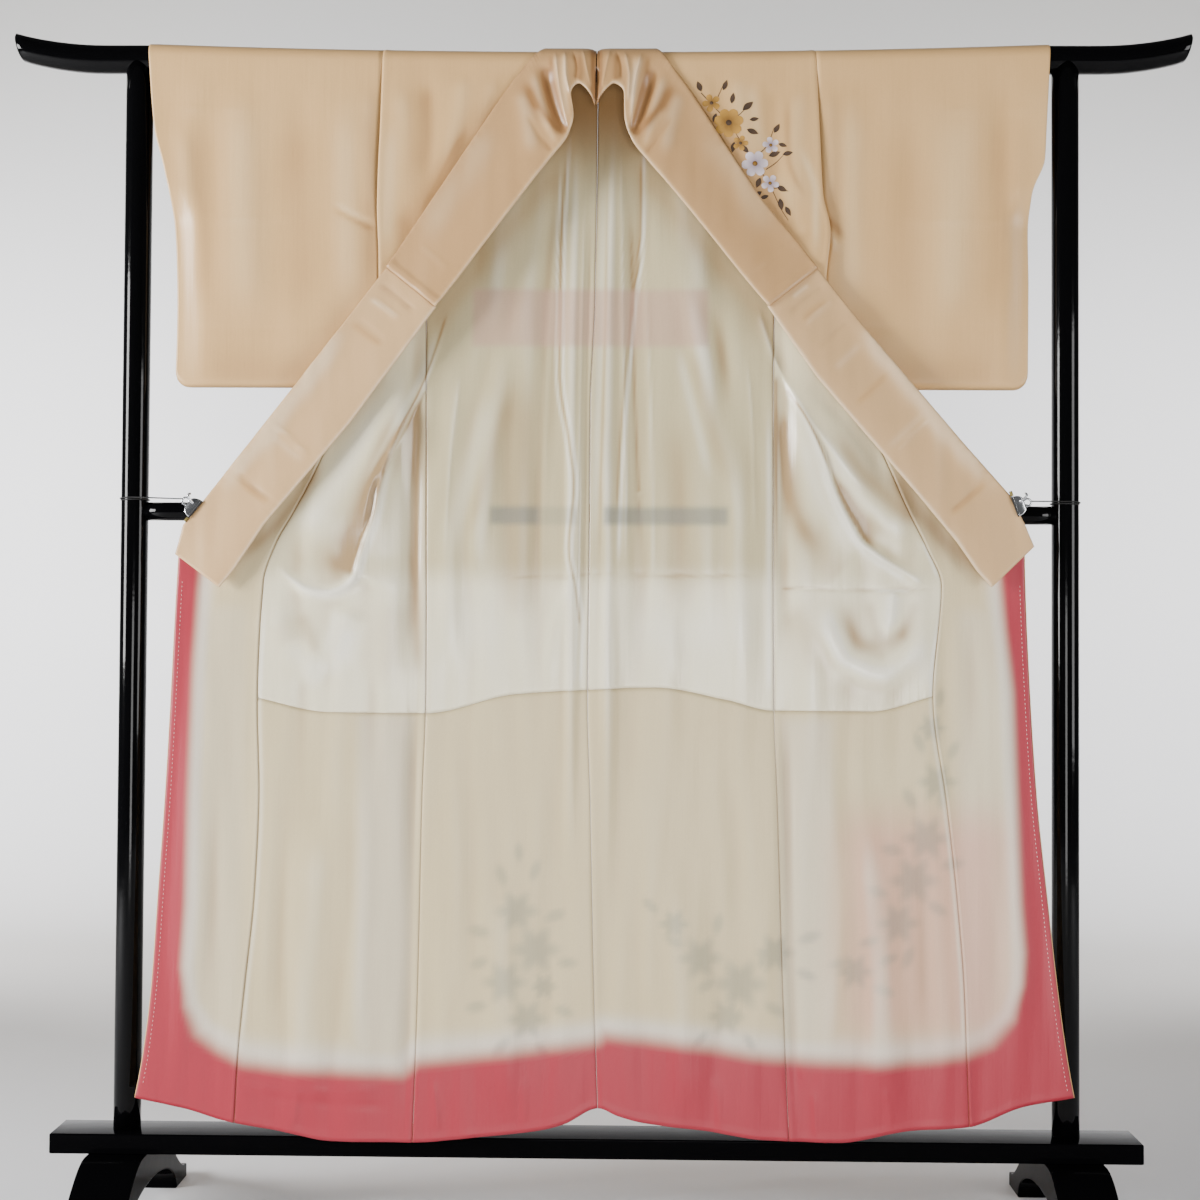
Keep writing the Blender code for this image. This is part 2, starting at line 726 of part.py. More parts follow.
def make_top_bar(collection):
    """Top bar: it sags a little between the posts and sweeps up at both ends, which are cut on a slant."""
    flare = np.linspace(0.0, 1.0, 6)
    sag = np.linspace(-BAR_SAG_HALF, BAR_SAG_HALF, 9)
    middle = [(x, 0.0, BAR_CENTRE - float(bar_drop(x))) for x in sag]
    swept = BAR_HALF - BAR_LEVEL_HALF
    right = [(BAR_LEVEL_HALF + swept * t, 0.0, BAR_CENTRE + BAR_RISE * t * t) for t in flare]
    left = [(-x, y, z) for x, y, z in reversed(right)]
    form = bmesh.new()
    sides = 32
    rings = []
    for x, y, z in left + middle + right:
        ring = []
        for step in range(sides):
            angle = 2 * math.pi * step / sides
            up = BAR_RADIUS * math.cos(angle)
            slant = BAR_END_SLANT * up / (2 * BAR_RADIUS) * smooth((abs(x) - BAR_LEVEL_HALF) / swept)
            moved = x + math.copysign(1.0, x) * slant
            ring.append(form.verts.new((moved, y + BAR_RADIUS * math.sin(angle), z + up)))
        rings.append(ring)
    for one, two in zip(rings, rings[1:]):
        for step in range(sides):
            following = (step + 1) % sides
            form.faces.new((one[step], one[following], two[following], two[step]))
    form.faces.new(rings[0])
    form.faces.new(rings[-1])
    bmesh.ops.recalc_face_normals(form, faces=form.faces[:])
    mesh = bpy.data.meshes.new("top_bar")
    form.to_mesh(mesh)
    form.free()
    new_object("top_bar", mesh, collection, "black_lacquer")


def foot_outline():
    """Side outline of a foot as y and z: crown under the board, two swept legs and a round arch between."""
    crown = BOARD_TOP - BOARD_THICKNESS - FIT_GAP
    sweep = np.linspace(0.0, 1.0, 9)
    leg = FOOT_REACH - FOOT_CROWN_HALF
    slope = crown - FOOT_TOE_HEIGHT
    top = [(FOOT_CROWN_HALF + leg * t, crown - slope * float(smooth(t))) for t in sweep]
    arch_half = FOOT_REACH - FOOT_TOE
    turn = np.linspace(0.0, math.pi, 17)
    arch = [(arch_half * math.cos(t), FOOT_ARCH_HEIGHT * math.sin(t)) for t in turn]
    right = top + [(FOOT_REACH, 0.0)]
    left = [(-y, z) for y, z in reversed(right)]
    return right + arch + left


def make_foot(side, collection):
    """Foot: a flat outline given its width across."""
    word = "left" if side < 0 else "right"
    outline = foot_outline()
    curve = bpy.data.curves.new(f"foot_{word}", "CURVE")
    curve.dimensions = "2D"
    curve.fill_mode = "BOTH"
    curve.extrude = FOOT_WIDTH / 2
    spline = curve.splines.new("POLY")
    spline.points.add(len(outline) - 1)
    for point, (y, z) in zip(spline.points, outline):
        point.co = (y, z, 0.0, 1.0)
    spline.use_cyclic_u = True
    obj = new_object(f"foot_{word}", curve, collection, "black_lacquer")
    obj.rotation_euler = (math.pi / 2, 0.0, math.pi / 2)
    obj.location = (side * FOOT_X, 0.0, 0.0)


def make_stand(collection, cutters):
    """Top bar, two posts, middle rail, base board and two arched feet."""
    make_top_bar(collection)
    saddle = cylinder(
        "bar_saddle",
        BAR_RADIUS + FIT_GAP,
        (-POST_X - 0.06, 0.0, BAR_CENTRE),
        (POST_X + 0.06, 0.0, BAR_CENTRE),
        cutters,
    )
    rail = cylinder(
        "mid_rail",
        RAIL_RADIUS,
        (-POST_X, 0.0, RAIL_HEIGHT),
        (POST_X, 0.0, RAIL_HEIGHT),
        collection,
        "black_lacquer",
        24,
    )
    for side, word in ((-1, "left"), (1, "right")):
        x = side * POST_X
        post = cylinder(
            f"post_{word}",
            POST_RADIUS,
            (x, 0.0, BOARD_TOP + FIT_GAP),
            (x, 0.0, BAR_CENTRE),
            collection,
            "black_lacquer",
        )
        cut(post, saddle)
        socket = cylinder(f"rail_end_{word}", POST_RADIUS + FIT_GAP, (x, 0.0, 0.9), (x, 0.0, 1.15), cutters)
        cut(rail, socket)
        make_foot(side, collection)
    trim_rail_ends(rail, cutters)
    board = bmesh.new()
    bmesh.ops.create_cube(board, size=1.0)
    bmesh.ops.scale(board, verts=board.verts[:], vec=(2 * BOARD_HALF, BOARD_DEPTH, BOARD_THICKNESS))
    mesh = bpy.data.meshes.new("base_board")
    board.to_mesh(mesh)
    board.free()
    obj = new_object("base_board", mesh, collection, "black_lacquer")
    obj.location = (0.0, 0.0, BOARD_TOP - BOARD_THICKNESS / 2)
    bevel = obj.modifiers.new("worn_edges", "BEVEL")
    bevel.width = 0.003
    bevel.segments = 2


def trim_rail_ends(rail, cutters):
    """Takes off what is left of the rail beyond the posts' sockets."""
    for side, word in ((-1, "left"), (1, "right")):
        form = bmesh.new()
        bmesh.ops.create_cube(form, size=0.08)
        mesh = bpy.data.meshes.new(f"rail_waste_{word}")
        form.to_mesh(mesh)
        form.free()
        waste = new_object(f"rail_waste_{word}", mesh, cutters)
        waste.location = (side * (POST_X + 0.04), 0.0, RAIL_HEIGHT)
        cut(rail, waste)


def make_clip(side, collection):
    """Spring clip of bent steel on the collar's seam edge, and the thread that ties it to the post."""
    word = "left" if side < 0 else "right"
    edge, height = LEFT_CLIP if side < 0 else RIGHT_CLIP
    bend = (
        (-CLIP_GRIP, -CLIP_FRONT),
        (CLIP_LENGTH * 0.35, -CLIP_FRONT - 0.0022),
        (CLIP_LENGTH * 0.80, -CLIP_FRONT - 0.0010),
        (CLIP_LENGTH, -CLIP_MIDDLE - 0.0020),
        (CLIP_LENGTH, -CLIP_MIDDLE + 0.0020),
        (CLIP_LENGTH * 0.80, -CLIP_BACK + 0.0010),
        (CLIP_LENGTH * 0.35, -CLIP_BACK + 0.0022),
        (-CLIP_GRIP, -CLIP_BACK),
    )
    heights = (height - CLIP_HEIGHT / 2, height + CLIP_HEIGHT / 2)
    points = np.array([[(edge + side * out, y, z) for out, y in bend] for z in heights])
    bent_wall(f"clip_{word}", points, CLIP_METAL, "clip_steel", collection)
    start = edge + side * (CLIP_LENGTH + CLIP_METAL + FIT_GAP)
    ring = POST_RADIUS + FIT_GAP + TIE_RADIUS
    steps = 22
    path = [(start, -CLIP_MIDDLE, height)]
    for step in range(steps + 1):
        turn = 2 * math.pi * TIE_TURNS * step / steps
        place = side * (POST_X + ring * math.sin(turn))
        path.append((place, -ring * math.cos(turn), TIE_HEIGHT - TIE_PITCH * turn / (2 * math.pi)))
    tube(f"tie_{word}", path, TIE_RADIUS, "tie_thread", collection)


def main():
    """Builds the stand, the garment, and the clips."""
    clear_scene()
    parts = make_collection("kimono_on_stand")
    cutters = make_collection("cutters")
    make_stand(parts, cutters)
    for side in (-1, 1):
        make_body(side, parts)
        make_upper_front(side, parts)
        make_sleeve(side, parts)
        make_over_collar(side, parts)
        make_collar(side, parts)
        make_clip(side, parts)


main()
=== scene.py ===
"""Dressed model of a lined silk kimono, hung open over the bar of a black lacquered two-post stand.

Every piece is a surface worked out on a grid from sizes in millimetres, laid on the form of the solid that it
stands for. The cloth hangs from the bar: its depth is a gentle slope read from tables, plus creases placed one by
one. Metres, +Z up, the wearer's back at +Y.
"""

import logging
import math
from collections.abc import Callable, Sequence
from dataclasses import dataclass, field
from enum import Enum

import bpy
import numpy as np
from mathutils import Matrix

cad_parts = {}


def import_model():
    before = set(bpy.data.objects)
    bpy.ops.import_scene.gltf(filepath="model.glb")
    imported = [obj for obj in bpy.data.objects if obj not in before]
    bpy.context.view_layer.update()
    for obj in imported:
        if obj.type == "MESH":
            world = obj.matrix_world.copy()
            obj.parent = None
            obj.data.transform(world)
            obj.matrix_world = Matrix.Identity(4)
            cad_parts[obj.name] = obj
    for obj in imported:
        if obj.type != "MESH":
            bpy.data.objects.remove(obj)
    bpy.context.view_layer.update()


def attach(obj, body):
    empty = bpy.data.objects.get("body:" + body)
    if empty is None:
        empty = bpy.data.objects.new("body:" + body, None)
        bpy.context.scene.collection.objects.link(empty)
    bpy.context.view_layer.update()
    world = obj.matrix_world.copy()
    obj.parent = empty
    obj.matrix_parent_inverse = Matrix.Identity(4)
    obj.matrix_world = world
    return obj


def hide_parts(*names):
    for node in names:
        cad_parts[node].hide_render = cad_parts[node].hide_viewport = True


LOG = logging.getLogger("kimono")
MM = 0.001
Array = np.ndarray
Line = Callable[[Array], Array]
Tints = dict[str, Array]
Depth = Callable[[Array, Array], Array]
FORWARD = (0.0, -1.0, 0.0)

# The bar, the posts and the cloth's turns over the bar, metres. Each turn has a radius and the slope of its fall.
BAR_CENTRE = 1.6875
BAR_RADIUS = 0.0205
BAR_SAG = 0.0115
BAR_SAG_HALF = 0.650
POST_X = 0.6765
POST_RADIUS = 0.0195
FIT_GAP = 0.0003  # between two pieces that touch on the real object
SHOULDER_RADIUS = 0.0220
SHOULDER_LEAN = 0.017
COLLAR_RADIUS = 0.0262
COLLAR_LEAN = 0.016
NAPE_REACH = 0.054  # how far down behind the bar the shoulder cloth ends
SEAM_GAP = 0.0004
BODY_TOP = BAR_CENTRE - NAPE_REACH + SHOULDER_RADIUS * math.pi / 2 - SEAM_GAP
SHOULDER_LINE = 1.708  # height at which the tables are read for the cloth on and behind the bar
FRONT_TOP = 1.350
OKUMI_TOP = 1.376
LINING_STEP = 0.0016  # from the outer cloth forward to its lining
SHELL_GAP = 0.0002  # how far the outer cloth stands behind its own line, clear of the lining
SILK = 0.0006
COLLAR_SILK = 0.0018
REAR_STEP = 0.0014  # from the outer cloth's line back to its rear face, which the hem's sprays lie on
COLLAR_WIDTH = 92.0  # mm, between the folds of its two edges

# Body seams, mm: height, then x of the back seam, the left side seam and the right side seam
BODY_SEAMS = (
    (1668, -4, -316, 312), (1440, -5, -316, 321), (1385, -6, -284, 290), (1340, -6, -254, 256),
    (1180, -12, -250, 253), (1020, -12, -248, 253), (760, -13, -245, 254), (610, -8, -249, 259),
    (345, -1, -252, 267), (126, 7, -257, 276),
)
# Okumi, mm: height, x of the left seam and front edge, x of the right seam and front edge
OKUMI_SEAMS = (
    (1376, -281, -304, 291, 310), (1340, -294, -331, 307, 337), (1180, -365, -453, 378, 466),
    (1084, -407, -526, 421, 555), (1020, -440, -577, 449, 600), (976, -464, -603, 471, 611),
    (920, -481, -606, 493, 612), (760, -487, -611, 480, 618), (610, -482, -617, 499, 627),
    (480, -486, -624, 513, 640), (345, -498, -631, 523, 654), (250, -506, -641, 526, 667),
    (140, -511, -661, 530, 688),
)
# Hem, mm: x and height
HEM = (
    (-661, 187), (-575, 169), (-528, 155), (-443, 140), (-371, 127), (-257, 126), (-166, 134), (-86, 143),
    (-44, 153), (7, 176), (33, 166), (72, 156), (159, 146), (245, 134), (345, 132), (442, 149), (530, 156),
    (603, 184), (688, 200),
)
# Seam between the satin and the lower lining, mm: x and height
SATIN_SEAM = (
    (-487, 753), (-384, 733), (-245, 732), (-117, 760), (-13, 767), (84, 771), (186, 754), (254, 739),
    (392, 739), (480, 761),
)
# Depth of the outer cloth, mm: height, y of the back panels, y of the turned fronts
BODY_DEPTHS = (
    (1668, 21.0, -17.5), (1600, 20.0, -17.5), (1440, 10.0, -18.0), (1340, 2.0, -19.0), (1180, -9.5, -20.5),
    (1020, -19.5, -24.0), (920, -22.0, -27.0), (760, -27.0, -32.0), (480, -37.0, -40.0), (250, -43.5, -46.0),
    (126, -46.0, -47.5),
)
FRONT_TURN = 0.060  # width over which the back's slope eases to the front's
TURN_EASE = 0.010  # height over which that easing sets in below the okumi's top
RAIL_HEIGHT = 1.023
RAIL_HALF = 0.030  # half the height of the cloth that stays in front of the rail
RAIL_CLEAR = -0.0150  # rearmost depth of that cloth
# Inner boundary of the rose band, mm: x and height, down the left front, along the hem and up the right front
ROSE_LINE = (
    (-566, 960), (-570, 909), (-574, 814), (-577, 668), (-578, 606), (-579, 461), (-583, 371), (-576, 317),
    (-559, 281), (-532, 261), (-496, 243), (-440, 236), (-360, 233), (-275, 229), (-254, 246), (-167, 255),
    (-95, 264), (0, 276), (14, 286), (86, 279), (158, 271), (230, 259), (291, 254), (399, 251), (471, 256),
    (521, 264), (556, 278), (586, 310), (600, 356), (603, 400), (598, 471), (593, 615), (588, 767), (578, 857),
    (573, 915), (570, 970),
)
# Paler cloth, the blush, the strip behind the satin, and the rail's painted shadow on the satin: strength, then x
# and height from and to, and the width of the blurred edge, mm
PALE_BOXES = (
    (1.0, -352, -252, 200, 742, 22), (1.0, 252, 350, 200, 742, 26), (0.7, 500, 640, 200, 900, 30),
    (0.6, -600, -488, 200, 900, 30),
)
BLUSH_BOX = (1.0, 300, 640, 225, 640, 95)
BAND_BOX = (1.0, -190, 165, 1260, 1356, 12)
# painted shadow of the rail behind the satin, as a grey band
RAIL_SHADOW_BOXES = ((0.5, -162, -22, 999, 1037, 12), (0.5, -162, -80, 999, 1037, 12), (1.0, 2, 194, 999, 1037, 12))
# Sleeves, mm: height, x of the cuff edge, x of the edge at the body
LEFT_SLEEVE = (
    (1708, -660, -317), (1582, -650, -320), (1529, -637, -322), (1469, -625, -323), (1395, -619, -320),
    (1314, -617, -319), (1203, -619, -319),
)
RIGHT_SLEEVE = (
    (1708, 651, 312), (1582, 645, 318), (1538, 643, 320), (1486, 625, 323), (1430, 622, 334),
    (1360, 623, 328), (1205, 622, 326),
)
# Half the sleeve's thickness by the fall below the bar's top line, both mm
SLEEVE_DEPTHS = ((0, 22.0), (120, 19.0), (300, 13.5), (430, 9.5), (484, 6.0))
# Edge of the shoulder cloth beside the collar, mm: height, then x left and right
SHOULDER_EDGE = (
    (1708, -80, 80), (1689, -84, 86), (1660, -112, 112), (1458, -247, 246), (1403, -283, 286),
    (1371, -304, 312),
)
# Over-collar, mm: x and run over the bar of its seam edge, then of its free edge
LEFT_OVER_COLLAR = (
    (-306, 343, -233, 402), (-280, 303, -206, 367), (-230, 227, -158, 302), (-175, 143, -105, 231),
    (-130, 76, -72, 188), (-100, 37, -46, 153), (-86, 16, -38, 123), (-76, -22, -42, 92), (-58, -46, -31, 77),
    (-34, -53, -17, 89), (-5, -54, -7, 106),
)
RIGHT_OVER_COLLAR = (
    (313, 343, 241, 400), (287, 309, 210, 363), (230, 239, 150, 287), (175, 155, 100, 226),
    (130, 85, 70, 191), (100, 42, 45, 158), (86, 18, 35, 125), (76, -22, 34, 90), (56, -46, 20, 77),
    (30, -53, 6, 88), (-4, -54, -6, 106),
)
# Lower collar, mm: x and height of its seam edge, then of its free edge
LEFT_COLLAR = (
    (-306, 1377, -233, 1317), (-435, 1208, -356, 1148), (-569, 1035, -478, 1001), (-597, 1001, -519, 938),
    (-608, 959, -541, 911),
)
RIGHT_COLLAR = (
    (313, 1377, 241, 1319), (392, 1278, 313, 1216), (531, 1115, 455, 1050), (590, 1049, 511, 982),
    (611, 1007, 540, 940), (624, 976, 561, 917),
)


class Side(Enum):
    """Side of the stand, as the viewer sees it."""

    LEFT = -1
    RIGHT = 1

    @property
    def word(self) -> str:
        """The side's name in lower case."""
        return self.name.lower()


class Form(Enum):
    """Cross-section of a crease."""

    ROUND = "round"
    CRISP = "crisp"
    PLEAT = "pleat"


@dataclass(frozen=True)
class Crease:
    """One ridge or trough of the cloth, placed one by one.

    Attributes:
        path: points of its line as x and height, mm.
        width: half width, mm.
        depth: how far it stands forward, mm; negative for a trough.
        form: its cross-section.
        fade: share of its length over which each end dies out.
        fall: width of a pleat's steep side, mm.
    """

    path: tuple[tuple[float, float], ...]
    width: float
    depth: float
    form: Form = Form.ROUND
    fade: tuple[float, float] = (0.25, 0.25)
    fall: float = 5.0


def soft(width: float, depth: float, *path: tuple[float, float],
         fade: tuple[float, float] = (0.25, 0.25)) -> Crease:
    """Rounded ridge or trough."""
    return Crease(path, width, depth, Form.ROUND, fade)


def crisp(width: float, depth: float, *path: tuple[float, float],
          fade: tuple[float, float] = (0.2, 0.2)) -> Crease:
    """Ridge or trough with a crisp line along its middle."""
    return Crease(path, width, depth, Form.CRISP, fade)


def pleat(width: float, fall: float, depth: float, *path: tuple[float, float],
          fade: tuple[float, float] = (0.2, 0.2)) -> Crease:
    """Pleat: gentle on the left of its path's direction, a short steep fall on the right."""
    return Crease(path, width, depth, Form.PLEAT, fade, fall)


# The largest folds of the back, the okumi and the lower lining, which the solids hold too
MAIN_FOLDS = (
    soft(13, -5, (-262, 1330), (-266, 1120), (-262, 800)), soft(12, -4, (-262, 800), (-262, 480), (-266, 130)),
    soft(13, -5, (262, 1330), (268, 1120), (268, 800)), soft(12, -4, (268, 800), (276, 480), (286, 130)),
    soft(16, 6, (-280, 1413), (-455, 1180), (-650, 925)), soft(16, 6, (290, 1405), (468, 1185), (660, 945)),
    soft(24, 4, (-120, 1560), (-160, 1200), (-170, 820)), soft(18, -4, (-60, 1560), (-80, 1150), (-90, 700)),
    soft(20, 4, (-205, 1300), (-215, 1000), (-215, 760)), soft(24, 4, (110, 1560), (150, 1250), (160, 820)),
    soft(18, -4, (50, 1560), (60, 1150), (55, 700)), soft(20, 4, (200, 1300), (205, 1000), (205, 760)),
    soft(9, 4, (-34, 1660), (-38, 1150), (-36, 420)), soft(9, 4, (18, 1660), (14, 1150), (20, 420)),
    soft(26, 4, (-140, 520), (-130, 320), (-120, 140)), soft(26, 4, (120, 520), (130, 320), (140, 140)),
    soft(28, 5, (-400, 600), (-405, 380), (-400, 140)), soft(28, 5, (390, 600), (400, 380), (410, 140)),
    soft(20, 4, (-575, 900), (-580, 600), (-590, 200)), soft(20, 4, (570, 900), (590, 600), (600, 200)),
)
# Folds of the turned fronts: the cloth drawn up to the clip laps over itself and falls in a U below
FRONT_CREASES = (
    # left front: a roll beside the collar, its lapped edge, the second layer's edge, the U and the V under it
    soft(40, 8.0, (-232, 1300), (-285, 1165), (-352, 1060), (-398, 995), (-430, 950), fade=(0.3, 0.35)),
    pleat(20, 7, 5.5, (-342, 985), (-336, 1012), (-326, 1056), (-305, 1099), (-278, 1157), (-249, 1222),
          (-219, 1324), fade=(0.3, 0.3)),
    pleat(26, 7, 6.0, (-262, 1200), (-300, 1099), (-314, 1063), (-321, 1020), (-333, 984), (-345, 942),
          (-352, 915), fade=(0.3, 0.12)),
    crisp(13, 6.0, (-346, 934), (-362, 914), (-388, 905), (-415, 908), (-440, 924), (-468, 950),
          fade=(0.12, 0.3)), soft(30, 3.0, (-484, 895), (-452, 852), (-420, 812), (-396, 776)),
    soft(24, 2.6, (-352, 885), (-366, 845), (-388, 800)), soft(30, 2.6, (-304, 960), (-302, 860), (-306, 750)),
    soft(16, -2.4, (-270, 1140), (-272, 960), (-270, 780)),
    # right front: the inner lapped edge from the side seam to the tuck, the band beside it, the U-shaped roll
    pleat(28, 9, 6.5, (462, 917), (442, 932), (417, 949), (395, 964), (378, 981), (363, 1006), (348, 1033),
          (334, 1065), (323, 1100), (311, 1130), (291, 1170), (276, 1192), fade=(0.45, 0.25)),
    soft(26, 6.5, (300, 1200), (330, 1130), (375, 1062), (420, 1012), (462, 965), fade=(0.3, 0.25)),
    crisp(10, 3.0, (229, 1326), (254, 1251), (304, 1160), (363, 1080), (420, 1024), fade=(0.1, 0.4)),
    soft(20, -4.0, (266, 1180), (272, 1110), (286, 1030), (326, 948), fade=(0.25, 0.35)),
    soft(19, 6.0, (318, 905), (334, 850), (364, 808), (410, 792), (450, 822), (484, 872), fade=(0.2, 0.25)),
    crisp(9, 3.0, (372, 992), (395, 970), (420, 952), (446, 936), (468, 920), fade=(0.3, 0.15)),
    crisp(16, 3.4, (424, 912), (421, 880), (416, 836), fade=(0.08, 0.5)),
    crisp(3.5, -1.2, (262, 914), (370, 913), (488, 915), fade=(0.1, 0.1)),
)
# Painted light and shade of the linings, beyond what the relief gives: painted shade where positive, warm between
# two layers and where something lies behind, painted highlight where negative, along lapped edges; the depth is
# their share
LINING_SHADES = (
    # left front
    soft(26, 0.34, (-262, 1190), (-296, 1070), (-330, 970)),
    soft(26, 0.34, (-330, 1000), (-370, 962), (-420, 946)),
    soft(20, -0.45, (-284, 1100), (-296, 1010), (-314, 935)),
    soft(24, 0.24, (-288, 900), (-298, 840), (-300, 760)),
    soft(16, -0.6, (-448, 838), (-416, 800), (-392, 768)),
    soft(15, -0.6, (-352, 860), (-366, 820), (-386, 780)),
    soft(26, 0.25, (-450, 880), (-430, 830), (-410, 780)),
    soft(9, 1.0, (-300, 1112), (-311, 1084), (-322, 1050), (-330, 1017), (-337, 988), fade=(0.35, 0.35)),
    soft(17, 0.85, (-274, 1190), (-304, 1120), (-333, 1050), (-354, 988), (-368, 956)),
    soft(20, 0.60, (-344, 990), (-362, 952), (-396, 940)),
    soft(5, -0.9, (-262, 1180), (-294, 1104), (-306, 1064), (-313, 1022), (-325, 985), (-339, 943),
         (-349, 917), fade=(0.3, 0.05)),
    soft(6, -0.9, (-346, 924), (-370, 904), (-400, 901), (-436, 918), fade=(0.05, 0.4)),
    soft(5, -0.5, (-227, 1312), (-257, 1222), (-288, 1157), (-317, 1099), (-337, 1056)),
    soft(2, 0.9, (-221, 1318), (-249, 1226), (-277, 1160), (-303, 1104), fade=(0.1, 0.25)),
    soft(18, -0.55, (-296, 1215), (-350, 1110), (-400, 1030), (-440, 985)),
    soft(9, 0.55, (-258, 1225), (-257, 1050), (-257, 840), (-256, 770), fade=(0.15, 0.3)),
    soft(10, 0.30, (-428, 880), (-412, 845), (-398, 812)), soft(9, -0.5, (-372, 884), (-380, 850), (-393, 812)),
    soft(10, 0.9, (-395, 1100), (-430, 1044), (-480, 985), (-540, 940), fade=(0.2, 0.3)),
    # right front
    soft(18, 0.50, (350, 1085), (384, 1022), (424, 985)), soft(26, 0.35, (292, 1030), (330, 950), (350, 930)),
    soft(22, 0.35, (270, 890), (300, 850), (334, 780)), soft(26, 0.20, (300, 780), (380, 766), (450, 770)),
    soft(8, 1.0, (337, 1092), (349, 1062), (361, 1036), (374, 1012), (388, 993), fade=(0.35, 0.35)),
    soft(2, 1.0, (270, 1205), (279, 1192), (294, 1170), (314, 1130), (327, 1098), (337, 1070),
         fade=(0.1, 0.25)),
    soft(5, -0.9, (306, 1122), (318, 1092), (329, 1062), (343, 1030), (358, 1002), (374, 977), (391, 960),
         (415, 944), (446, 925), fade=(0.25, 0.05)),
    soft(9, -0.6, (318, 1140), (352, 1072), (375, 1046), (412, 1011), (446, 990)),
    soft(12, 0.60, (330, 1152), (375, 1088), (430, 1030), (458, 1000)),
    soft(14, 0.75, (262, 1190), (270, 1120), (284, 1030), (322, 950)),
    soft(10, -0.45, (285, 1152), (308, 1082), (336, 1012), (366, 962)),
    soft(3, 0.9, (257, 1228), (257, 1120), (257, 1010), (257, 850), fade=(0.05, 0.5)),
    soft(4, -0.8, (247, 1190), (247, 1000), (247, 760), fade=(0.2, 0.05)),
    soft(13, -0.8, (424, 905), (421, 880), (417, 842), fade=(0.05, 0.5)),
    soft(9, 0.35, (388, 902), (396, 868), (408, 838)), soft(9, 0.32, (458, 902), (446, 868), (430, 838)),
    soft(9, -0.9, (328, 897), (337, 850), (358, 812), (402, 794), (440, 815)),
    soft(15, -0.5, (446, 836), (468, 806), (480, 772)),
    soft(13, 0.45, (350, 904), (360, 862), (388, 834), (430, 846), (452, 886)),
    soft(2, 0.3, (262, 914), (300, 917), (346, 911), fade=(0.1, 0.1)),
    soft(2.4, -0.9, (394, 911), (422, 912), (452, 911)),
    soft(16, 1.0, (414, 1100), (444, 1050), (492, 990), (548, 945), (580, 925), fade=(0.2, 0.35)),
    soft(3, -0.9, (462, 990), (478, 955), (490, 925)),
    # back: the collar's painted shadow, darker strips down the satin, and painted light and shade along its crisp
    # narrow folds
    soft(22, 0.50, (-50, 1545), (-100, 1480), (-165, 1400), (-224, 1322), (-246, 1262), fade=(0.15, 0.2)),
    soft(22, 0.50, (50, 1545), (100, 1480), (165, 1400), (228, 1322), (250, 1262), fade=(0.15, 0.2)),
    soft(30, 0.45, (-112, 1250), (-112, 1000), (-116, 750), fade=(0.2, 0.3)),
    soft(12, 0.4, (-122, 1225), (-156, 1100), (-190, 975)),
    soft(15, -0.35, (-150, 1210), (-182, 1090), (-218, 950)),
    soft(2.4, -1.0, (-44, 1600), (-52, 1400), (-52, 1229), (-37, 1127), (-30, 1059), (-37, 972), (-26, 910),
         (-20, 858), (-24, 770), fade=(0.05, 0.03)),
    soft(2.2, -0.7, (-56, 1560), (-62, 1400), (-62, 1229), (-47, 1127), (-40, 1059), (-46, 972), (-35, 910),
         (-30, 858), (-32, 770), fade=(0.05, 0.03)),
    soft(2.2, 0.8, (-50, 1560), (-57, 1400), (-57, 1229), (-42, 1127), (-35, 1059), (-41, 972), (-31, 910),
         (-25, 858), fade=(0.05, 0.03)),
    soft(2.6, -1.0, (60, 1600), (66, 1500), (63, 1417), (52, 1316), (42, 1200), (35, 1092), (32, 1013),
         (30, 940), fade=(0.05, 0.1)),
    soft(2.2, 0.7, (60, 1560), (58, 1417), (47, 1316), (37, 1200), (30, 1092), (27, 1013), fade=(0.05, 0.1)),
    soft(5, -0.45, (5, 1590), (2, 1300), (-3, 1100), (-6, 960)),
    soft(2.2, 0.6, (12, 1560), (9, 1300), (5, 1100), (3, 940)),
    soft(7, -0.5, (112, 1275), (138, 1170), (166, 1056)), soft(12, 0.35, (130, 1275), (158, 1170), (190, 1050)),
    soft(24, 0.35, (110, 1180), (118, 1000), (124, 800)), soft(2, 0.3, (-150, 930), (-60, 928), (-14, 931)),
    soft(2, 0.3, (30, 928), (120, 931), (244, 932)), soft(42, -0.40, (-232, 858), (-60, 852)),
    soft(42, -0.50, (30, 852), (240, 858)),
    # painted highlight of the pale fold beside each okumi seam
    soft(2.6, -0.9, (-477, 890), (-483, 760), (-478, 610), (-482, 480), (-494, 345), (-502, 255),
         fade=(0.1, 0.1)),
    soft(2.6, -0.9, (489, 890), (476, 760), (495, 610), (509, 480), (519, 345), (522, 255), fade=(0.1, 0.1)),
)
# Unevenness of each cloth: seed, shortest and longest wave and height, mm
BODY_RIPPLE = (5, (34.0, 140.0), 1.5)
SHOULDER_RIPPLE = (11, (44.0, 150.0), 1.4)
SLEEVE_RIPPLE = (21, (60.0, 200.0), 1.6)
COLLAR_RIPPLE = (33, (26.0, 90.0), 0.5)
LOWER_COLLAR_RIPPLE = (44, (24.0, 80.0), 0.5)
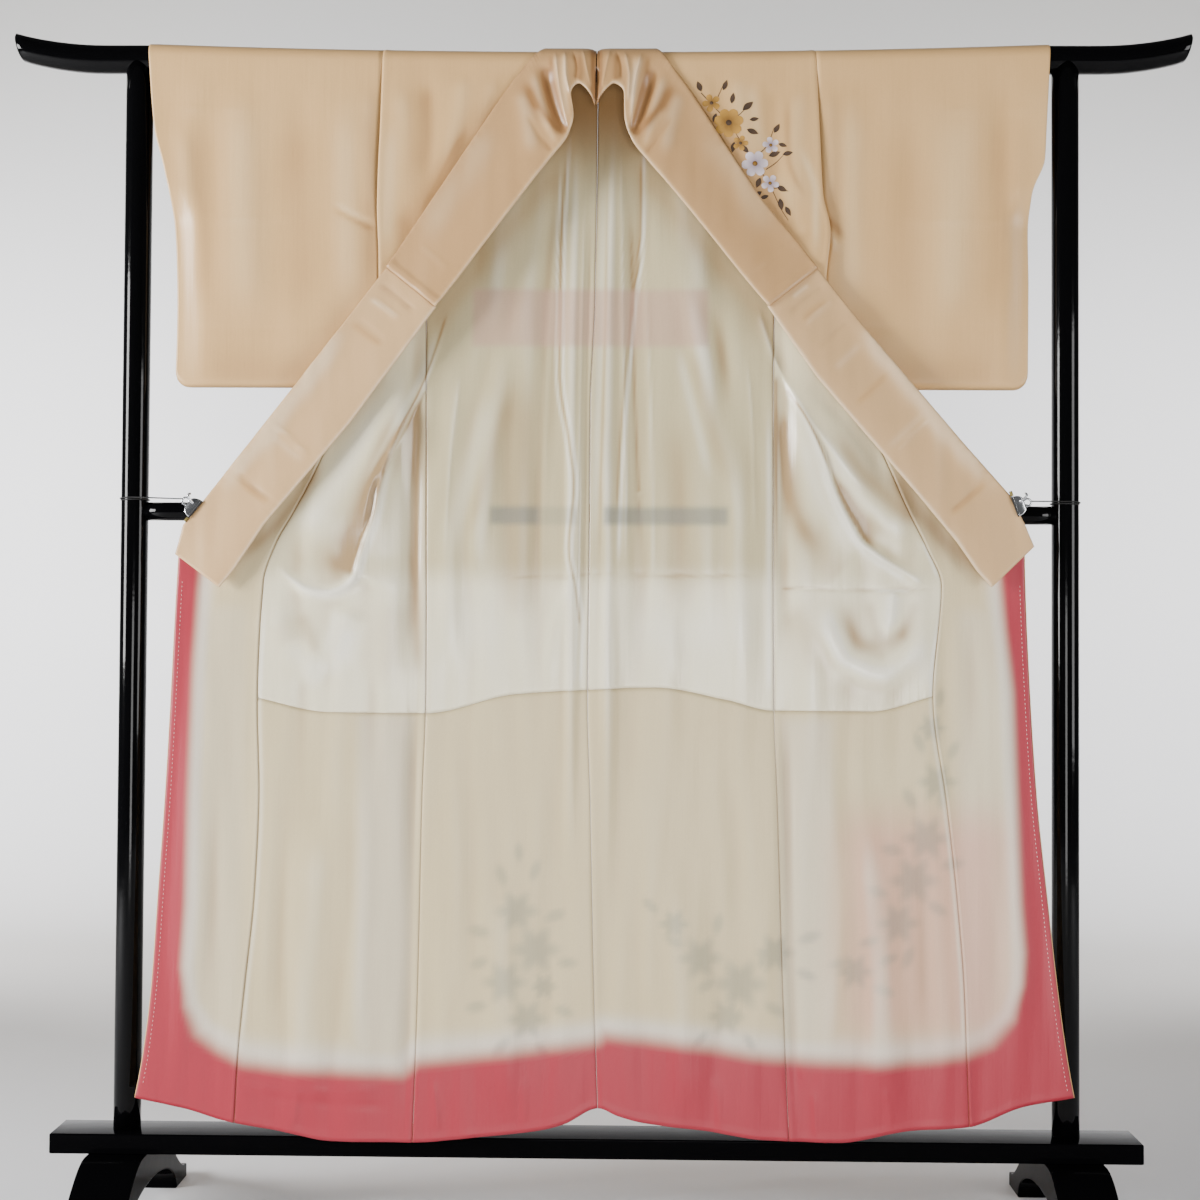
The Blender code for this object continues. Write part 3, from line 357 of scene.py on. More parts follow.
# Creases of the back and of the lower lining; each height is multiplied by the relief
BACK_RELIEF = 1.1
BACK_CREASES = (
    # narrow folds beside the seam, wide soft ones outward, the tuck line across
    crisp(5, 1.8, (-22, 1560), (-26, 1200), (-30, 800)), crisp(4.5, -1.6, (-12, 1500), (-17, 1150), (-19, 820)),
    crisp(5, 1.8, (30, 1600), (36, 1250), (44, 900)), crisp(5, -1.5, (44, 1500), (52, 1200), (64, 950)),
    crisp(5, 1.4, (62, 1480), (76, 1150), (82, 850)), crisp(6, 1.3, (-62, 1500), (-74, 1200), (-80, 860)),
    soft(14, 1.8, (-96, 1420), (-150, 1120), (-186, 900)),
    soft(16, -2.0, (-120, 1380), (-188, 1140), (-226, 960)),
    soft(14, 1.8, (100, 1440), (170, 1180), (214, 960)), soft(16, -2.0, (128, 1400), (196, 1200), (236, 1020)),
    soft(11, 1.2, (-30, 940), (-60, 860), (-70, 775)), soft(11, 1.2, (120, 940), (110, 860), (118, 775)),
    crisp(3.5, -0.5, (-92, 931), (70, 934), (240, 932), fade=(0.1, 0.1)),
    crisp(4, 1.0, (-200, 1240), (-214, 1100), (-220, 960)), crisp(4, 1.0, (214, 1260), (224, 1120), (226, 980)),
    soft(9, 1.2, (0, 1180), (10, 1060), (6, 980)),
    # lower lining: long soft waves down to the hem, and small pulls at the hem
    soft(15, 1.6, (-200, 700), (-196, 480), (-190, 260)), soft(18, -1.6, (-70, 700), (-62, 470), (-66, 220)),
    soft(15, 1.6, (60, 700), (72, 480), (80, 250)), soft(18, -1.5, (190, 700), (206, 460), (214, 230)),
    soft(15, 1.4, (330, 690), (338, 470), (336, 240)), soft(13, -1.4, (452, 700), (462, 480), (470, 240)),
    soft(15, 1.4, (-330, 690), (-334, 470), (-330, 240)), soft(13, -1.4, (-446, 690), (-450, 470), (-456, 230)),
    soft(9, 1.2, (-552, 880), (-556, 600), (-566, 300)), soft(9, 1.2, (548, 880), (562, 620), (580, 320)),
    crisp(5, 1.1, (-520, 205), (-400, 196), (-300, 200)), crisp(4, -0.9, (-470, 188), (-380, 178), (-280, 176)),
    crisp(5, 1.2, (-230, 215), (-224, 180), (-220, 140)), crisp(5, 1.2, (170, 225), (176, 185), (178, 145)),
    crisp(5, 1.0, (-420, 200), (-424, 170), (-430, 142)), crisp(5, 1.0, (410, 210), (416, 180), (420, 148)),
    crisp(5, 1.0, (310, 205), (312, 170), (314, 138)), crisp(5, 1.0, (-100, 220), (-98, 185), (-100, 150)),
)
# Creases of the sleeves, left then right, and of the shoulder cloth beside the collar
SLEEVE_CREASES = (
    soft(22, 2.6, (-372, 1660), (-366, 1480), (-362, 1300)),
    soft(26, -2.0, (-440, 1660), (-432, 1440), (-430, 1270)),
    soft(30, 2.4, (-520, 1660), (-514, 1460), (-508, 1280)),
    soft(20, -1.6, (-580, 1650), (-572, 1480), (-566, 1290)),
    crisp(4, -1.6, (-390, 1468), (-354, 1448), (-322, 1434)),
    soft(10, 2.2, (-334, 1650), (-337, 1560), (-330, 1430)),
    soft(12, 1.6, (-612, 1600), (-598, 1480), (-594, 1300)),
    crisp(3, -0.8, (-606, 1290), (-500, 1288), (-350, 1290), fade=(0.1, 0.1)),
    crisp(3, 0.9, (-636, 1612), (-560, 1604), (-480, 1610)),
    crisp(5, 0.8, (-600, 1452), (-520, 1446), (-440, 1452)),
    soft(22, 2.6, (370, 1660), (366, 1480), (372, 1300)), soft(26, -2.0, (436, 1660), (436, 1440), (440, 1270)),
    soft(30, 2.4, (514, 1660), (518, 1460), (516, 1280)), soft(20, -1.6, (574, 1650), (576, 1480), (572, 1290)),
    crisp(6, 3.4, (318, 1446), (334, 1430), (346, 1404)), soft(10, 2.2, (332, 1650), (336, 1560), (334, 1470)),
    soft(12, 1.6, (606, 1600), (606, 1480), (600, 1300)),
    crisp(3, -0.8, (360, 1292), (480, 1290), (604, 1292), fade=(0.1, 0.1)),
    crisp(3, 0.9, (636, 1610), (560, 1602), (470, 1608)), crisp(5, 0.8, (604, 1450), (520, 1444), (430, 1450)),
)
SHOULDER_CREASES = (
    soft(16, 2.2, (-290, 1650), (-282, 1560), (-286, 1440)),
    soft(12, -1.8, (-250, 1660), (-246, 1580), (-262, 1470)),
    soft(14, 2.0, (-200, 1665), (-204, 1600), (-232, 1500)),
    soft(10, 1.5, (-150, 1660), (-166, 1610), (-190, 1560)),
    soft(16, 2.2, (288, 1650), (282, 1560), (290, 1440)), soft(12, -1.8, (246, 1660), (246, 1580), (266, 1470)),
    soft(14, 2.0, (196, 1665), (204, 1600), (232, 1500)), soft(10, 1.5, (150, 1660), (166, 1610), (190, 1560)),
)
# Painted shade and highlight of the shoulder cloth, the sleeves and the collar, as for the linings
SHOULDER_SHADES = (
    soft(22, 0.75, (-120, 1662), (-190, 1560), (-262, 1455), (-300, 1395)),
    soft(22, 0.70, (120, 1660), (190, 1556), (262, 1458), (302, 1395)),
    soft(6, 0.6, (-190, 1590), (-224, 1515), (-262, 1440)),
    soft(12, -0.7, (-302, 1600), (-306, 1480), (-306, 1395)),
    soft(14, 0.35, (-256, 1650), (-258, 1580), (-268, 1500)),
    soft(6, -0.9, (286, 1560), (312, 1480), (312, 1392)), soft(10, -0.6, (250, 1530), (282, 1450), (296, 1420)),
    soft(8, -0.5, (216, 1650), (226, 1590), (240, 1530)), soft(5, 0.6, (270, 1640), (272, 1540), (300, 1470)),
)
SLEEVE_SHADES = (
    soft(14, 0.45, (-337, 1660), (-336, 1480), (-330, 1330)),
    soft(20, -0.30, (-376, 1600), (-370, 1480), (-366, 1300)),
    soft(40, -0.22, (-520, 1640), (-516, 1480), (-512, 1290)),
    soft(30, 0.20, (-590, 1600), (-580, 1450), (-576, 1300)),
    soft(30, 0.20, (-445, 1600), (-436, 1440), (-434, 1300)),
    soft(30, 0.34, (-606, 1238), (-470, 1226), (-336, 1236)),
    soft(4, 0.6, (-392, 1466), (-356, 1446), (-322, 1432)),
    soft(4, -0.6, (-390, 1474), (-354, 1455), (-322, 1442)),
    soft(14, 0.50, (334, 1660), (342, 1500), (336, 1380)),
    soft(20, -0.35, (362, 1640), (364, 1480), (366, 1300)),
    soft(40, -0.22, (514, 1640), (516, 1480), (518, 1290)),
    soft(30, 0.20, (584, 1600), (584, 1450), (578, 1300)),
    soft(30, 0.20, (440, 1600), (440, 1440), (444, 1300)),
    soft(30, 0.34, (336, 1240), (470, 1226), (606, 1238)), soft(4, -0.9, (318, 1438), (330, 1430), (340, 1412)),
    soft(5, 0.8, (322, 1452), (340, 1442), (354, 1418)),
)
COLLAR_SHADES = (
    soft(8, 0.85, (-112, 1652), (-88, 1600), (-48, 1562)), soft(8, 0.85, (108, 1648), (84, 1600), (46, 1562)),
    soft(6, 0.9, (-6, 1700), (-5, 1650), (-6, 1604), fade=(0.1, 0.1)),
    soft(4, -0.6, (-54, 1690), (-52, 1640), (-44, 1580)), soft(4, -0.6, (50, 1690), (48, 1640), (44, 1580)),
    soft(5, 0.5, (-32, 1690), (-28, 1660), (-30, 1640)), soft(5, 0.5, (24, 1690), (22, 1660), (22, 1640)),
    soft(4, 0.5, (-72, 1690), (-70, 1650), (-56, 1600)), soft(4, 0.5, (70, 1690), (66, 1650), (54, 1600)),
    soft(5, -0.6, (-96, 1610), (-78, 1580), (-60, 1545)), soft(5, -0.6, (96, 1608), (76, 1578), (60, 1542)),
)
LOWER_COLLAR_SHADES = (
    soft(3, -0.8, (276, 1330), (290, 1342), (304, 1352)),
    soft(3, -0.6, (-330, 1330), (-312, 1318), (-286, 1298)),
    soft(4, 0.4, (-360, 1296), (-336, 1278), (-310, 1258)), soft(4, 0.4, (330, 1330), (306, 1312), (290, 1296)),
    soft(5, -0.4, (-480, 1140), (-450, 1114), (-420, 1090)),
    soft(5, -0.4, (470, 1170), (440, 1140), (410, 1112)),
    soft(4, 0.4, (-530, 1080), (-500, 1052), (-470, 1030)), soft(4, 0.4, (560, 1070), (530, 1044), (500, 1018)),
    soft(5, -0.4, (380, 1270), (356, 1246), (336, 1226)), soft(4, 0.35, (420, 1230), (392, 1200), (366, 1176)),
)
# Creases of the over-collar: the turn over the bar, the gathers at the neck and the deep fold at its middle
COLLAR_CREASES = (
    crisp(7, -9.0, (-6, 1704), (-5, 1660), (-6, 1604), fade=(0.02, 0.02)),
    soft(9, -7.0, (-84, 1676), (-66, 1608), (-48, 1560)), soft(9, -7.0, (80, 1672), (59, 1600), (47, 1560)),
    crisp(6, 3.0, (-66, 1692), (-60, 1640), (-44, 1566)), crisp(6, 3.0, (60, 1690), (50, 1640), (44, 1566)),
    crisp(5, 2.4, (-52, 1694), (-50, 1655), (-42, 1620)), crisp(5, 2.4, (34, 1694), (42, 1650), (40, 1610)),
    crisp(5, -2.0, (-40, 1694), (-34, 1664), (-36, 1645)), crisp(5, -2.0, (22, 1694), (30, 1664), (30, 1645)),
    crisp(4, 1.6, (-26, 1696), (-20, 1664), (-12, 1632)), crisp(4, 1.6, (14, 1696), (8, 1664), (2, 1630)),
    soft(9, 2.5, (-98, 1668), (-84, 1610), (-62, 1560)), soft(9, 2.5, (96, 1664), (78, 1606), (60, 1556)),
    soft(12, 2.0, (-118, 1640), (-104, 1590), (-96, 1530)), soft(12, 2.0, (118, 1636), (104, 1590), (94, 1530)),
    crisp(5, -1.4, (-108, 1600), (-86, 1562), (-64, 1536)), crisp(5, -1.4, (106, 1596), (84, 1560), (62, 1532)),
    soft(24, 1.6, (-150, 1590), (-200, 1500), (-262, 1400)),
    soft(24, 1.6, (150, 1586), (205, 1500), (266, 1400)),
    crisp(3.5, 0.8, (-262, 1408), (-238, 1388), (-214, 1366)),
    crisp(3.5, 0.8, (268, 1406), (244, 1386), (220, 1364)),
)
LOWER_COLLAR_CREASES = (
    crisp(4, -1.2, (-318, 1354), (-292, 1334), (-262, 1306)),
    crisp(4, 1.1, (-334, 1334), (-306, 1314), (-284, 1296)),
    crisp(4, -0.9, (-352, 1300), (-330, 1284), (-306, 1262)),
    crisp(4, 0.9, (-470, 1150), (-440, 1124), (-412, 1096)),
    crisp(4, -0.9, (-520, 1080), (-490, 1052), (-464, 1034)),
    soft(16, 1.6, (-350, 1310), (-450, 1170), (-560, 1030)),
    crisp(4, -1.2, (326, 1352), (300, 1332), (270, 1306)), crisp(4, 1.1, (342, 1332), (316, 1312), (294, 1292)),
    crisp(4, -0.9, (362, 1300), (338, 1280), (314, 1258)), crisp(4, 0.9, (480, 1162), (450, 1136), (424, 1108)),
    crisp(4, -0.9, (560, 1078), (530, 1050), (500, 1022)), soft(16, 1.6, (360, 1310), (460, 1190), (580, 1040)),
)


def smooth(value: Array) -> Array:
    """Eased step: 3 t squared less 2 t cubed, of the value held between 0 and 1."""
    t = np.clip(value, 0.0, 1.0)
    return t * t * (3.0 - 2.0 * t)


def bell(value: Array, width: float, centre: float = 0.0) -> Array:
    """Bell: e to the minus square of the value's distance from a centre, counted in widths."""
    return np.exp(-(((value - centre) / width) ** 2))


def circle(count: int) -> Array:
    """Angles that divide a full turn evenly."""
    return 2 * math.pi * np.arange(count) / count


def length_along(path: Array) -> Array:
    """Length of a path from its start to each of its points."""
    return np.concatenate([[0.0], np.cumsum(np.linalg.norm(np.diff(path, axis=0), axis=1))])


def curve(keys: Array, values: Array, at: Array) -> Array:
    """Smooth curve through points, with no overshoot.

    Each stretch is a cubic between its two points. A point's slope is the harmonic mean of the slopes on both
    sides of it, and none where they differ in sign.

    Args:
        keys: increasing keys.
        values: value at each key.
        at: keys to read it at; outside the ends the end value holds.

    Returns:
        The values, in the shape of at.
    """
    keys, values = np.asarray(keys, float), np.asarray(values, float)
    steps = np.diff(keys)
    rise = np.diff(values) / steps
    before, after = rise[:-1], rise[1:]
    with np.errstate(divide="ignore", invalid="ignore"):
        mean = 2.0 * before * after / (before + after)
    slope = np.concatenate([rise[:1], np.where(before * after > 0.0, mean, 0.0), rise[-1:]])
    at = np.clip(at, keys[0], keys[-1])
    k = np.clip(np.searchsorted(keys, at, side="right") - 1, 0, len(steps) - 1)
    h = steps[k]
    t = (at - keys[k]) / h
    rest = 1.0 - t
    start = (1.0 + 2.0 * t) * rest * rest * values[k] + t * rest * rest * h * slope[k]
    end = t * t * (3.0 - 2.0 * t) * values[k + 1] - t * t * rest * h * slope[k + 1]
    return start + end


def look_up(table: Sequence[Sequence[float]], column: int, key: Array) -> Array:
    """Reads a column of a table in mm along a smooth curve, at keys in metres; returns metres."""
    rows = np.array(sorted(table), dtype=float)
    return curve(rows[:, 0], rows[:, column], np.asarray(key) / MM) * MM


def along(table: Sequence[Sequence[float]], columns: Sequence[int], places: Array) -> Array:
    """Reads columns of a table in mm as smooth curves of the row number.

    Args:
        table: the rows.
        columns: the columns to read.
        places: row numbers, with fractions between rows.

    Returns:
        (places, columns), metres.
    """
    rows = np.array(table, dtype=float)
    count = np.arange(len(rows))
    return np.stack([curve(count, rows[:, c], places) for c in columns], axis=-1) * MM


def bar_drop(x: Array) -> Array:
    """How far the bar sags at a place along it: a parabola between its two ends."""
    return BAR_SAG * np.clip(1.0 - (np.asarray(x) / BAR_SAG_HALF) ** 2, 0.0, 1.0)


def to_line(x: Array, z: Array, points: Array) -> tuple[Array, Array, Array]:
    """Distance from each point of the cloth to a line of straight stretches.

    Args:
        x, z: places on the cloth, metres.
        points: the line's points.

    Returns:
        The distance, the side it lies on (1 to the left of the line's direction) and the share passed.
    """
    start, run = points[:-1], np.diff(points, axis=0)
    dx, dz = x[..., None] - start[:, 0], z[..., None] - start[:, 1]
    place = np.clip((dx * run[:, 0] + dz * run[:, 1]) / (run**2).sum(axis=1), 0.0, 1.0)
    apart = np.hypot(dx - place * run[:, 0], dz - place * run[:, 1])
    nearest = apart.argmin(axis=-1)[..., None]
    turn = np.sign(run[:, 0] * dz - run[:, 1] * dx)
    pick = np.take_along_axis
    share = (nearest + pick(place, nearest, -1)) / len(run)
    return pick(apart, nearest, -1)[..., 0], pick(turn, nearest, -1)[..., 0], share[..., 0]


def crease_height(x: Array, z: Array, creases: Sequence[Crease]) -> Array:
    """Sum of creases at points of the cloth, forward when positive.

    A rounded crease is a bell in its distance, a crisp one two falling curves that meet in a line, and a pleat a
    gentle fall on its left and a short steep one on its right. All die out towards their ends.

    Args:
        x, z: places on the cloth, metres.
        creases: the creases.

    Returns:
        Height in metres.
    """
    total = np.zeros(x.shape)
    for crease in creases:
        count = len(crease.path)
        points = along(crease.path, (0, 1), np.linspace(0.0, count - 1.0, 4 * count))
        width = crease.width * MM
        low, high = points.min(axis=0) - 4 * width, points.max(axis=0) + 4 * width
        near = (x > low[0]) & (x < high[0]) & (z > low[1]) & (z < high[1])
        if not near.any():
            continue
        apart, side, share = to_line(x[near], z[near], points)
        if crease.form is Form.ROUND:
            height = bell(apart, width)
        elif crease.form is Form.CRISP:
            height = np.exp(-(np.sqrt(apart**2 + (0.12 * width) ** 2) - 0.12 * width) / (0.6 * width))
        else:
            gentle = np.exp(-apart / width)
            height = np.where(side > 0, gentle, 1.0 - smooth(apart / (crease.fall * MM)))
        fade = smooth(share / crease.fade[0]) * smooth((1.0 - share) / crease.fade[1])
        total[near] += crease.depth * MM * height * fade
    return total


def blurred(values: Array, reach: int) -> Array:
    """Mean over a square of the grid, taken twice as differences of a running sum, the edge values held outside.

    Args:
        values: (rows, columns).
        reach: points on each side of the middle one.

    Returns:
        The blurred values.
    """
    for axis in (0, 1, 0, 1):
        before, after = np.take(values, [0] * (reach + 1), axis), np.take(values, [-1] * reach, axis)
        wide = np.concatenate([before, values, after], axis)
        total = np.moveaxis(np.cumsum(wide, axis=axis), axis, 0)
        values = np.moveaxis((total[2 * reach + 1 :] - total[: -2 * reach - 1]) / (2 * reach + 1), 0, axis)
    return values


def fold_tones(relief: Array, scale: float) -> Tints:
    """Painted shade in the folds' hollows, in a warm colour, and painted highlight on their crests.

    Args:
        relief: height of the folds over the cloth round them, metres.
        scale: height in mm at which the tone is full.

    Returns:
        The two tones, 0 to 1.
    """
    share = relief / (scale * MM)
    return {"painted_shade": smooth(-share), "crest": smooth(share)}


def shaded(tones: Tints, shade: Array) -> Tints:
    """Adds placed painted light and shade to that of the folds.

    Args:
        tones: painted shade of the hollows and painted highlight of the crests.
        shade: its share times 1 mm, painted shade where positive and painted highlight where negative.

    Returns:
        The two tones, each weakened where the shade is of the other kind.
    """
    dark, pale = np.clip(shade / MM, 0.0, 1.0), np.clip(-shade / MM, 0.0, 1.0)
    painted_shade = np.clip(tones["painted_shade"] * (1.0 - pale) + dark, 0.0, 1.0)
    return {"painted_shade": painted_shade, "crest": np.clip(tones["crest"] * (1.0 - dark) + pale, 0.0, 1.0)}


def ripple(x: Array, z: Array, seed: int, lengths: tuple[float, float], height: float) -> Array:
    """Unevenness of hanging silk: a sum of eight waves of seeded place and slant, long in z, the longest strongest.

    Args:
        x, z: places on the cloth, metres.
        seed: seed of the waves.
        lengths: shortest and longest wave across the cloth, mm.
        height: height of the sum, mm.

    Returns:
        Its height in metres.
    """
    rng = np.random.default_rng(seed)
    total = np.zeros(x.shape)
    for length in np.geomspace(lengths[0], lengths[1], 8) * MM:
        lean, long, phase, place = rng.normal(0.0, 0.05), rng.uniform(9.0, 16.0), *rng.uniform(0.0, 6.28, 2)
        wander = 0.5 * np.sin(z / (0.3 * long * length) + place)
        wave = np.sin(2 * math.pi * (x + lean * z) / length + phase + wander)
        total += wave * np.sin(2 * math.pi * z / (long * length) + place) * (length / (lengths[1] * MM)) ** 0.7
    return total * height * MM / 2.4


def mesh_object(name: str, points: Array, ring: bool = False, caps: bool = False, tints: Tints | None = None,
                facing: tuple[float, float, float] | None = None) -> bpy.types.Object:
    """Makes one object of one or many grids of points, a quad between each four neighbours.

    Args:
        name: name of the piece.
        points: (..., rows, columns, 3) in metres; leading axes count separate grids.
        ring: joins the last column to the first.
        caps: closes a ring's two ends with a flat face.
        tints: values at the points, by attribute name.
        facing: direction that the open sheet's outer side looks in; a closed one is turned outward by volume.

    Returns:
        The object, in the scene.
    """
    rows, columns = points.shape[-3:-1]
    flat = points.reshape(-1, 3)
    index = np.arange(len(flat)).reshape(-1, rows, columns)
    if ring:
        index = np.concatenate([index, index[..., :1]], axis=-1)
    quads = np.stack([index[:, :-1, :-1], index[:, :-1, 1:], index[:, 1:, 1:], index[:, 1:, :-1]], axis=-1)
    quads = quads.reshape(-1, 4)
    corner = flat[quads]
    normal = np.cross(corner[:, 2] - corner[:, 0], corner[:, 3] - corner[:, 1])
    if facing is None:
        centre = corner.mean(axis=1)
        outward = (normal * (centre - flat.mean(axis=0))).sum() if len(index) == 1 else 1.0
    else:
        outward = (normal @ np.array(facing)).sum()
    ends = np.zeros((0, 1), int)
    if caps:
        ends = np.concatenate([index[:, 0, :columns][:, ::-1], index[:, -1, :columns]])
    if outward < 0:
        quads, ends = quads[:, ::-1], ends[:, ::-1]
    loops = np.concatenate([quads.ravel(), ends.ravel()])
    starts = np.concatenate([np.arange(len(quads)) * 4, quads.size + np.arange(len(ends)) * columns])
    mesh = bpy.data.meshes.new(name)
    mesh.vertices.add(len(flat))
    mesh.vertices.foreach_set("co", flat.astype(np.float32).ravel())
    mesh.loops.add(len(loops))
    mesh.loops.foreach_set("vertex_index", loops.astype(np.int32))
    mesh.polygons.add(len(starts))
    mesh.polygons.foreach_set("loop_start", starts.astype(np.int32))
    mesh.update(calc_edges=True)
    smooth_faces = np.ones(len(starts), bool)
    smooth_faces[len(quads):] = False
    mesh.polygons.foreach_set("use_smooth", smooth_faces)
    for key, values in (tints or {}).items():
        attribute = mesh.attributes.new(key, "FLOAT", "POINT")
        attribute.data.foreach_set("value", np.broadcast_to(values, points.shape[:-1]).astype(np.float32).ravel())
    mesh.validate()
    obj = bpy.data.objects.new(name, mesh)
    bpy.context.scene.collection.objects.link(obj)
    return obj


def thicken(obj: bpy.types.Object, thickness: float, offset: float = -1.0) -> None:
    """Gives an open sheet its wall: behind its outer side, or about its middle where the offset is 0."""
    wall = obj.modifiers.new("wall", "SOLIDIFY")
    wall.thickness, wall.offset, wall.use_even_offset = thickness, offset, False


def dress(obj: bpy.types.Object, material: bpy.types.Material, nodes: Sequence[str] = ()) -> None:
    """Gives a piece its material and its place on the part's one body, and hides the solids that it stands for.

    Args:
        obj: the piece.
        material: its finish.
        nodes: solids that it replaces.
    """
    obj.data.materials.append(material)
    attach(obj, "root")
    if nodes:
        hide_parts(*nodes)
    LOG.info("%s: %d faces", obj.name, len(obj.data.polygons))


def cut_of(points: Array, ring: bool) -> tuple[float, float, float]:
    """Flat size of a sheet: its longest row and column along the cloth, and half its quads' crossed diagonals.

    Args:
        points: (rows, columns, 3).
        ring: whether the last column joins the first.

    Returns:
        Width, length and area, metres.
    """
    grid = np.concatenate([points, points[:, :1]], axis=1) if ring else points
    across = np.linalg.norm(np.diff(grid, axis=1), axis=-1)
    down = np.linalg.norm(np.diff(grid, axis=0), axis=-1)
    one, two = grid[1:, 1:] - grid[:-1, :-1], grid[1:, :-1] - grid[:-1, 1:]
    area = float(np.linalg.norm(np.cross(one, two), axis=-1).sum() / 2)
    return round(float(across.sum(axis=1).max()), 3), round(float(down.sum(axis=0).max()), 3), area


def hang(obj: bpy.types.Object, points: Array, ring: bool) -> None:
    """Logs a sheet of cloth's name and the flat size of its grid.

    Args:
        obj: the sheet's piece.
        points: its grid.
        ring: whether it is sewn round.
    """
    width, length, area = cut_of(points, ring)
    area = min(area, width * length)
    LOG.info("%s: cut %.0f x %.0f mm, %.3f m2", obj.name, width / MM, length / MM, area)


def cloth(name: str, points: Array, finish: bpy.types.Material, node: str,
          tints: Tints | None = None, wall: float = SILK, ring: bool = False,
          facing: tuple[float, float, float] | None = FORWARD) -> None:
    """Args:
        name: name of the piece.
        points: its grid.
        finish: its material.
        node: the solid that it replaces.
        tints: values at its points, by attribute name.
        wall: its wall, metres.
        ring: whether it is sewn round.
        facing: direction that its outer side looks in.
    """
    piece = mesh_object(name, points, ring=ring, tints=tints, facing=facing)
    thicken(piece, wall)
    dress(piece, finish, [node])
    hang(piece, points, ring)


def linear(colour: str) -> tuple[float, float, float, float]:
    """Turns an sRGB hex colour to linear: a straight foot, then a power of 2.4.

    Args:
        colour: "#RRGGBB".

    Returns:
        Red, green, blue and an alpha of 1.
    """
    value = np.array([int(colour[i : i + 2], 16) for i in (1, 3, 5)]) / 255.0
    value = np.where(value <= 0.04045, value / 12.92, ((value + 0.055) / 1.055) ** 2.4)
    return (*(float(v) for v in value), 1.0)


def add(tree: bpy.types.NodeTree, kind: str, settings: dict | None = None,
        inputs: dict | None = None) -> bpy.types.Node:
    """Adds a shader node.

    Args:
        tree: the material's tree.
        kind: the node's type.
        settings: the node's own properties.
        inputs: by socket name or number, a value, or an output socket to link.

    Returns:
        The node.
    """
    node = tree.nodes.new(kind)
    for key, value in (settings or {}).items():
        setattr(node, key, value)
    for key, value in (inputs or {}).items():
        if isinstance(value, bpy.types.NodeSocket):
            tree.links.new(value, node.inputs[key])
        else:
            node.inputs[key].default_value = value
    return node


def start_material(name: str) -> tuple[bpy.types.Material, bpy.types.NodeTree, bpy.types.Node,
                                       bpy.types.NodeSocket]:
    """New material with a node tree.

    Args:
        name: the material's name.

    Returns:
        The material, its tree, its Principled shader and the socket of the object's own coordinates.
    """
    material = bpy.data.materials.new(name)
    material.use_nodes = True
    tree = material.node_tree
    return material, tree, tree.nodes["Principled BSDF"], add(tree, "ShaderNodeTexCoord").outputs["Object"]


# Settings of a Mix node of colours: its sockets 0, 6 and 7 are the share and the two colours, its output 2 the mix
COLOURS = {"data_type": "RGBA"}


@dataclass(frozen=True)
class Silk:
    """Silk of one weave and dye.

    Attributes:
        name: the material's name.
        colour, shade: the dye, and the slightly deeper tone of its uneven parts, sRGB.
        roughness: how far the gloss spreads.
        sheen: weight of the soft light at grazing angles.
        grain: size of the crepe's grain, mm; drawn coarser than the real 0.5 mm so that it shows.
        grain_height: height of that grain, mm.
        streak: width of the fine upright ripples, mm.
        streak_height: their height, mm.
        tints: attribute name, colour and strength of each dyed or see-through area and of each painted shade,
            shadow and highlight, the last on top.
        specular: strength of the gloss.
    """

    name: str
    colour: str
    shade: str
    roughness: float
    sheen: float
    grain: float
    grain_height: float
    streak: float
    streak_height: float
    tints: tuple[tuple[str, str, float], ...] = ()
    specular: float = 0.5

    def material(self) -> bpy.types.Material:
        """Builds the material: a dyed base with faint unevenness, the weave's grain and the ripples as relief.

        Returns:
            The material.
        """
        material, tree, shader, place = start_material(self.name)
        # the dye's unevenness is about 140 mm across
        uneven = add(tree, "ShaderNodeTexNoise", None, {"Vector": place, "Scale": 7.0, "Detail": 3.0}).outputs[0]
        colour = add(tree, "ShaderNodeMix", COLOURS, {0: uneven, 6: linear(self.colour), 7: linear(self.shade)})
        for key, tint, strength in self.tints:
            value = add(tree, "ShaderNodeAttribute", {"attribute_name": key}).outputs["Fac"]
            share = add(tree, "ShaderNodeMath", {"operation": "MULTIPLY"}, {0: value, 1: strength}).outputs[0]
            colour = add(tree, "ShaderNodeMix", COLOURS, {0: share, 6: colour.outputs[2], 7: linear(tint)})
        # the grain darkens the dye by up to a tenth
        grain = add(tree, "ShaderNodeTexNoise", None,
                    {"Vector": place, "Scale": 1.0 / (self.grain * MM), "Detail": 2.0})
        colour = add(tree, "ShaderNodeMix", COLOURS | {"blend_type": "MULTIPLY"},
                     {0: 0.10, 6: colour.outputs[2], 7: grain.outputs[0]})
        # the ripples are drawn out twentyfold in height
        upright = add(tree, "ShaderNodeMapping", None, {"Vector": place, "Scale": (1.0, 1.0, 0.05)}).outputs[0]
        streak = add(tree, "ShaderNodeTexNoise", None,
                     {"Vector": upright, "Scale": 1.0 / (self.streak * MM), "Detail": 3.0, "Roughness": 0.55})
        low = add(tree, "ShaderNodeBump", None,
                  {"Strength": 1.0, "Distance": self.streak_height * MM, "Height": streak.outputs[0]})
        fine = add(tree, "ShaderNodeBump", None, {"Strength": 1.0, "Distance": self.grain_height * MM,
                                                  "Height": grain.outputs[0], "Normal": low.outputs[0]})
        tree.links.new(colour.outputs[2], shader.inputs["Base Color"])
        tree.links.new(fine.outputs[0], shader.inputs["Normal"])
        shader.inputs["Roughness"].default_value = self.roughness
        shader.inputs["Specular IOR Level"].default_value = self.specular
        shader.inputs["Sheen Weight"].default_value = self.sheen
        shader.inputs["Sheen Roughness"].default_value = 0.4
        return material


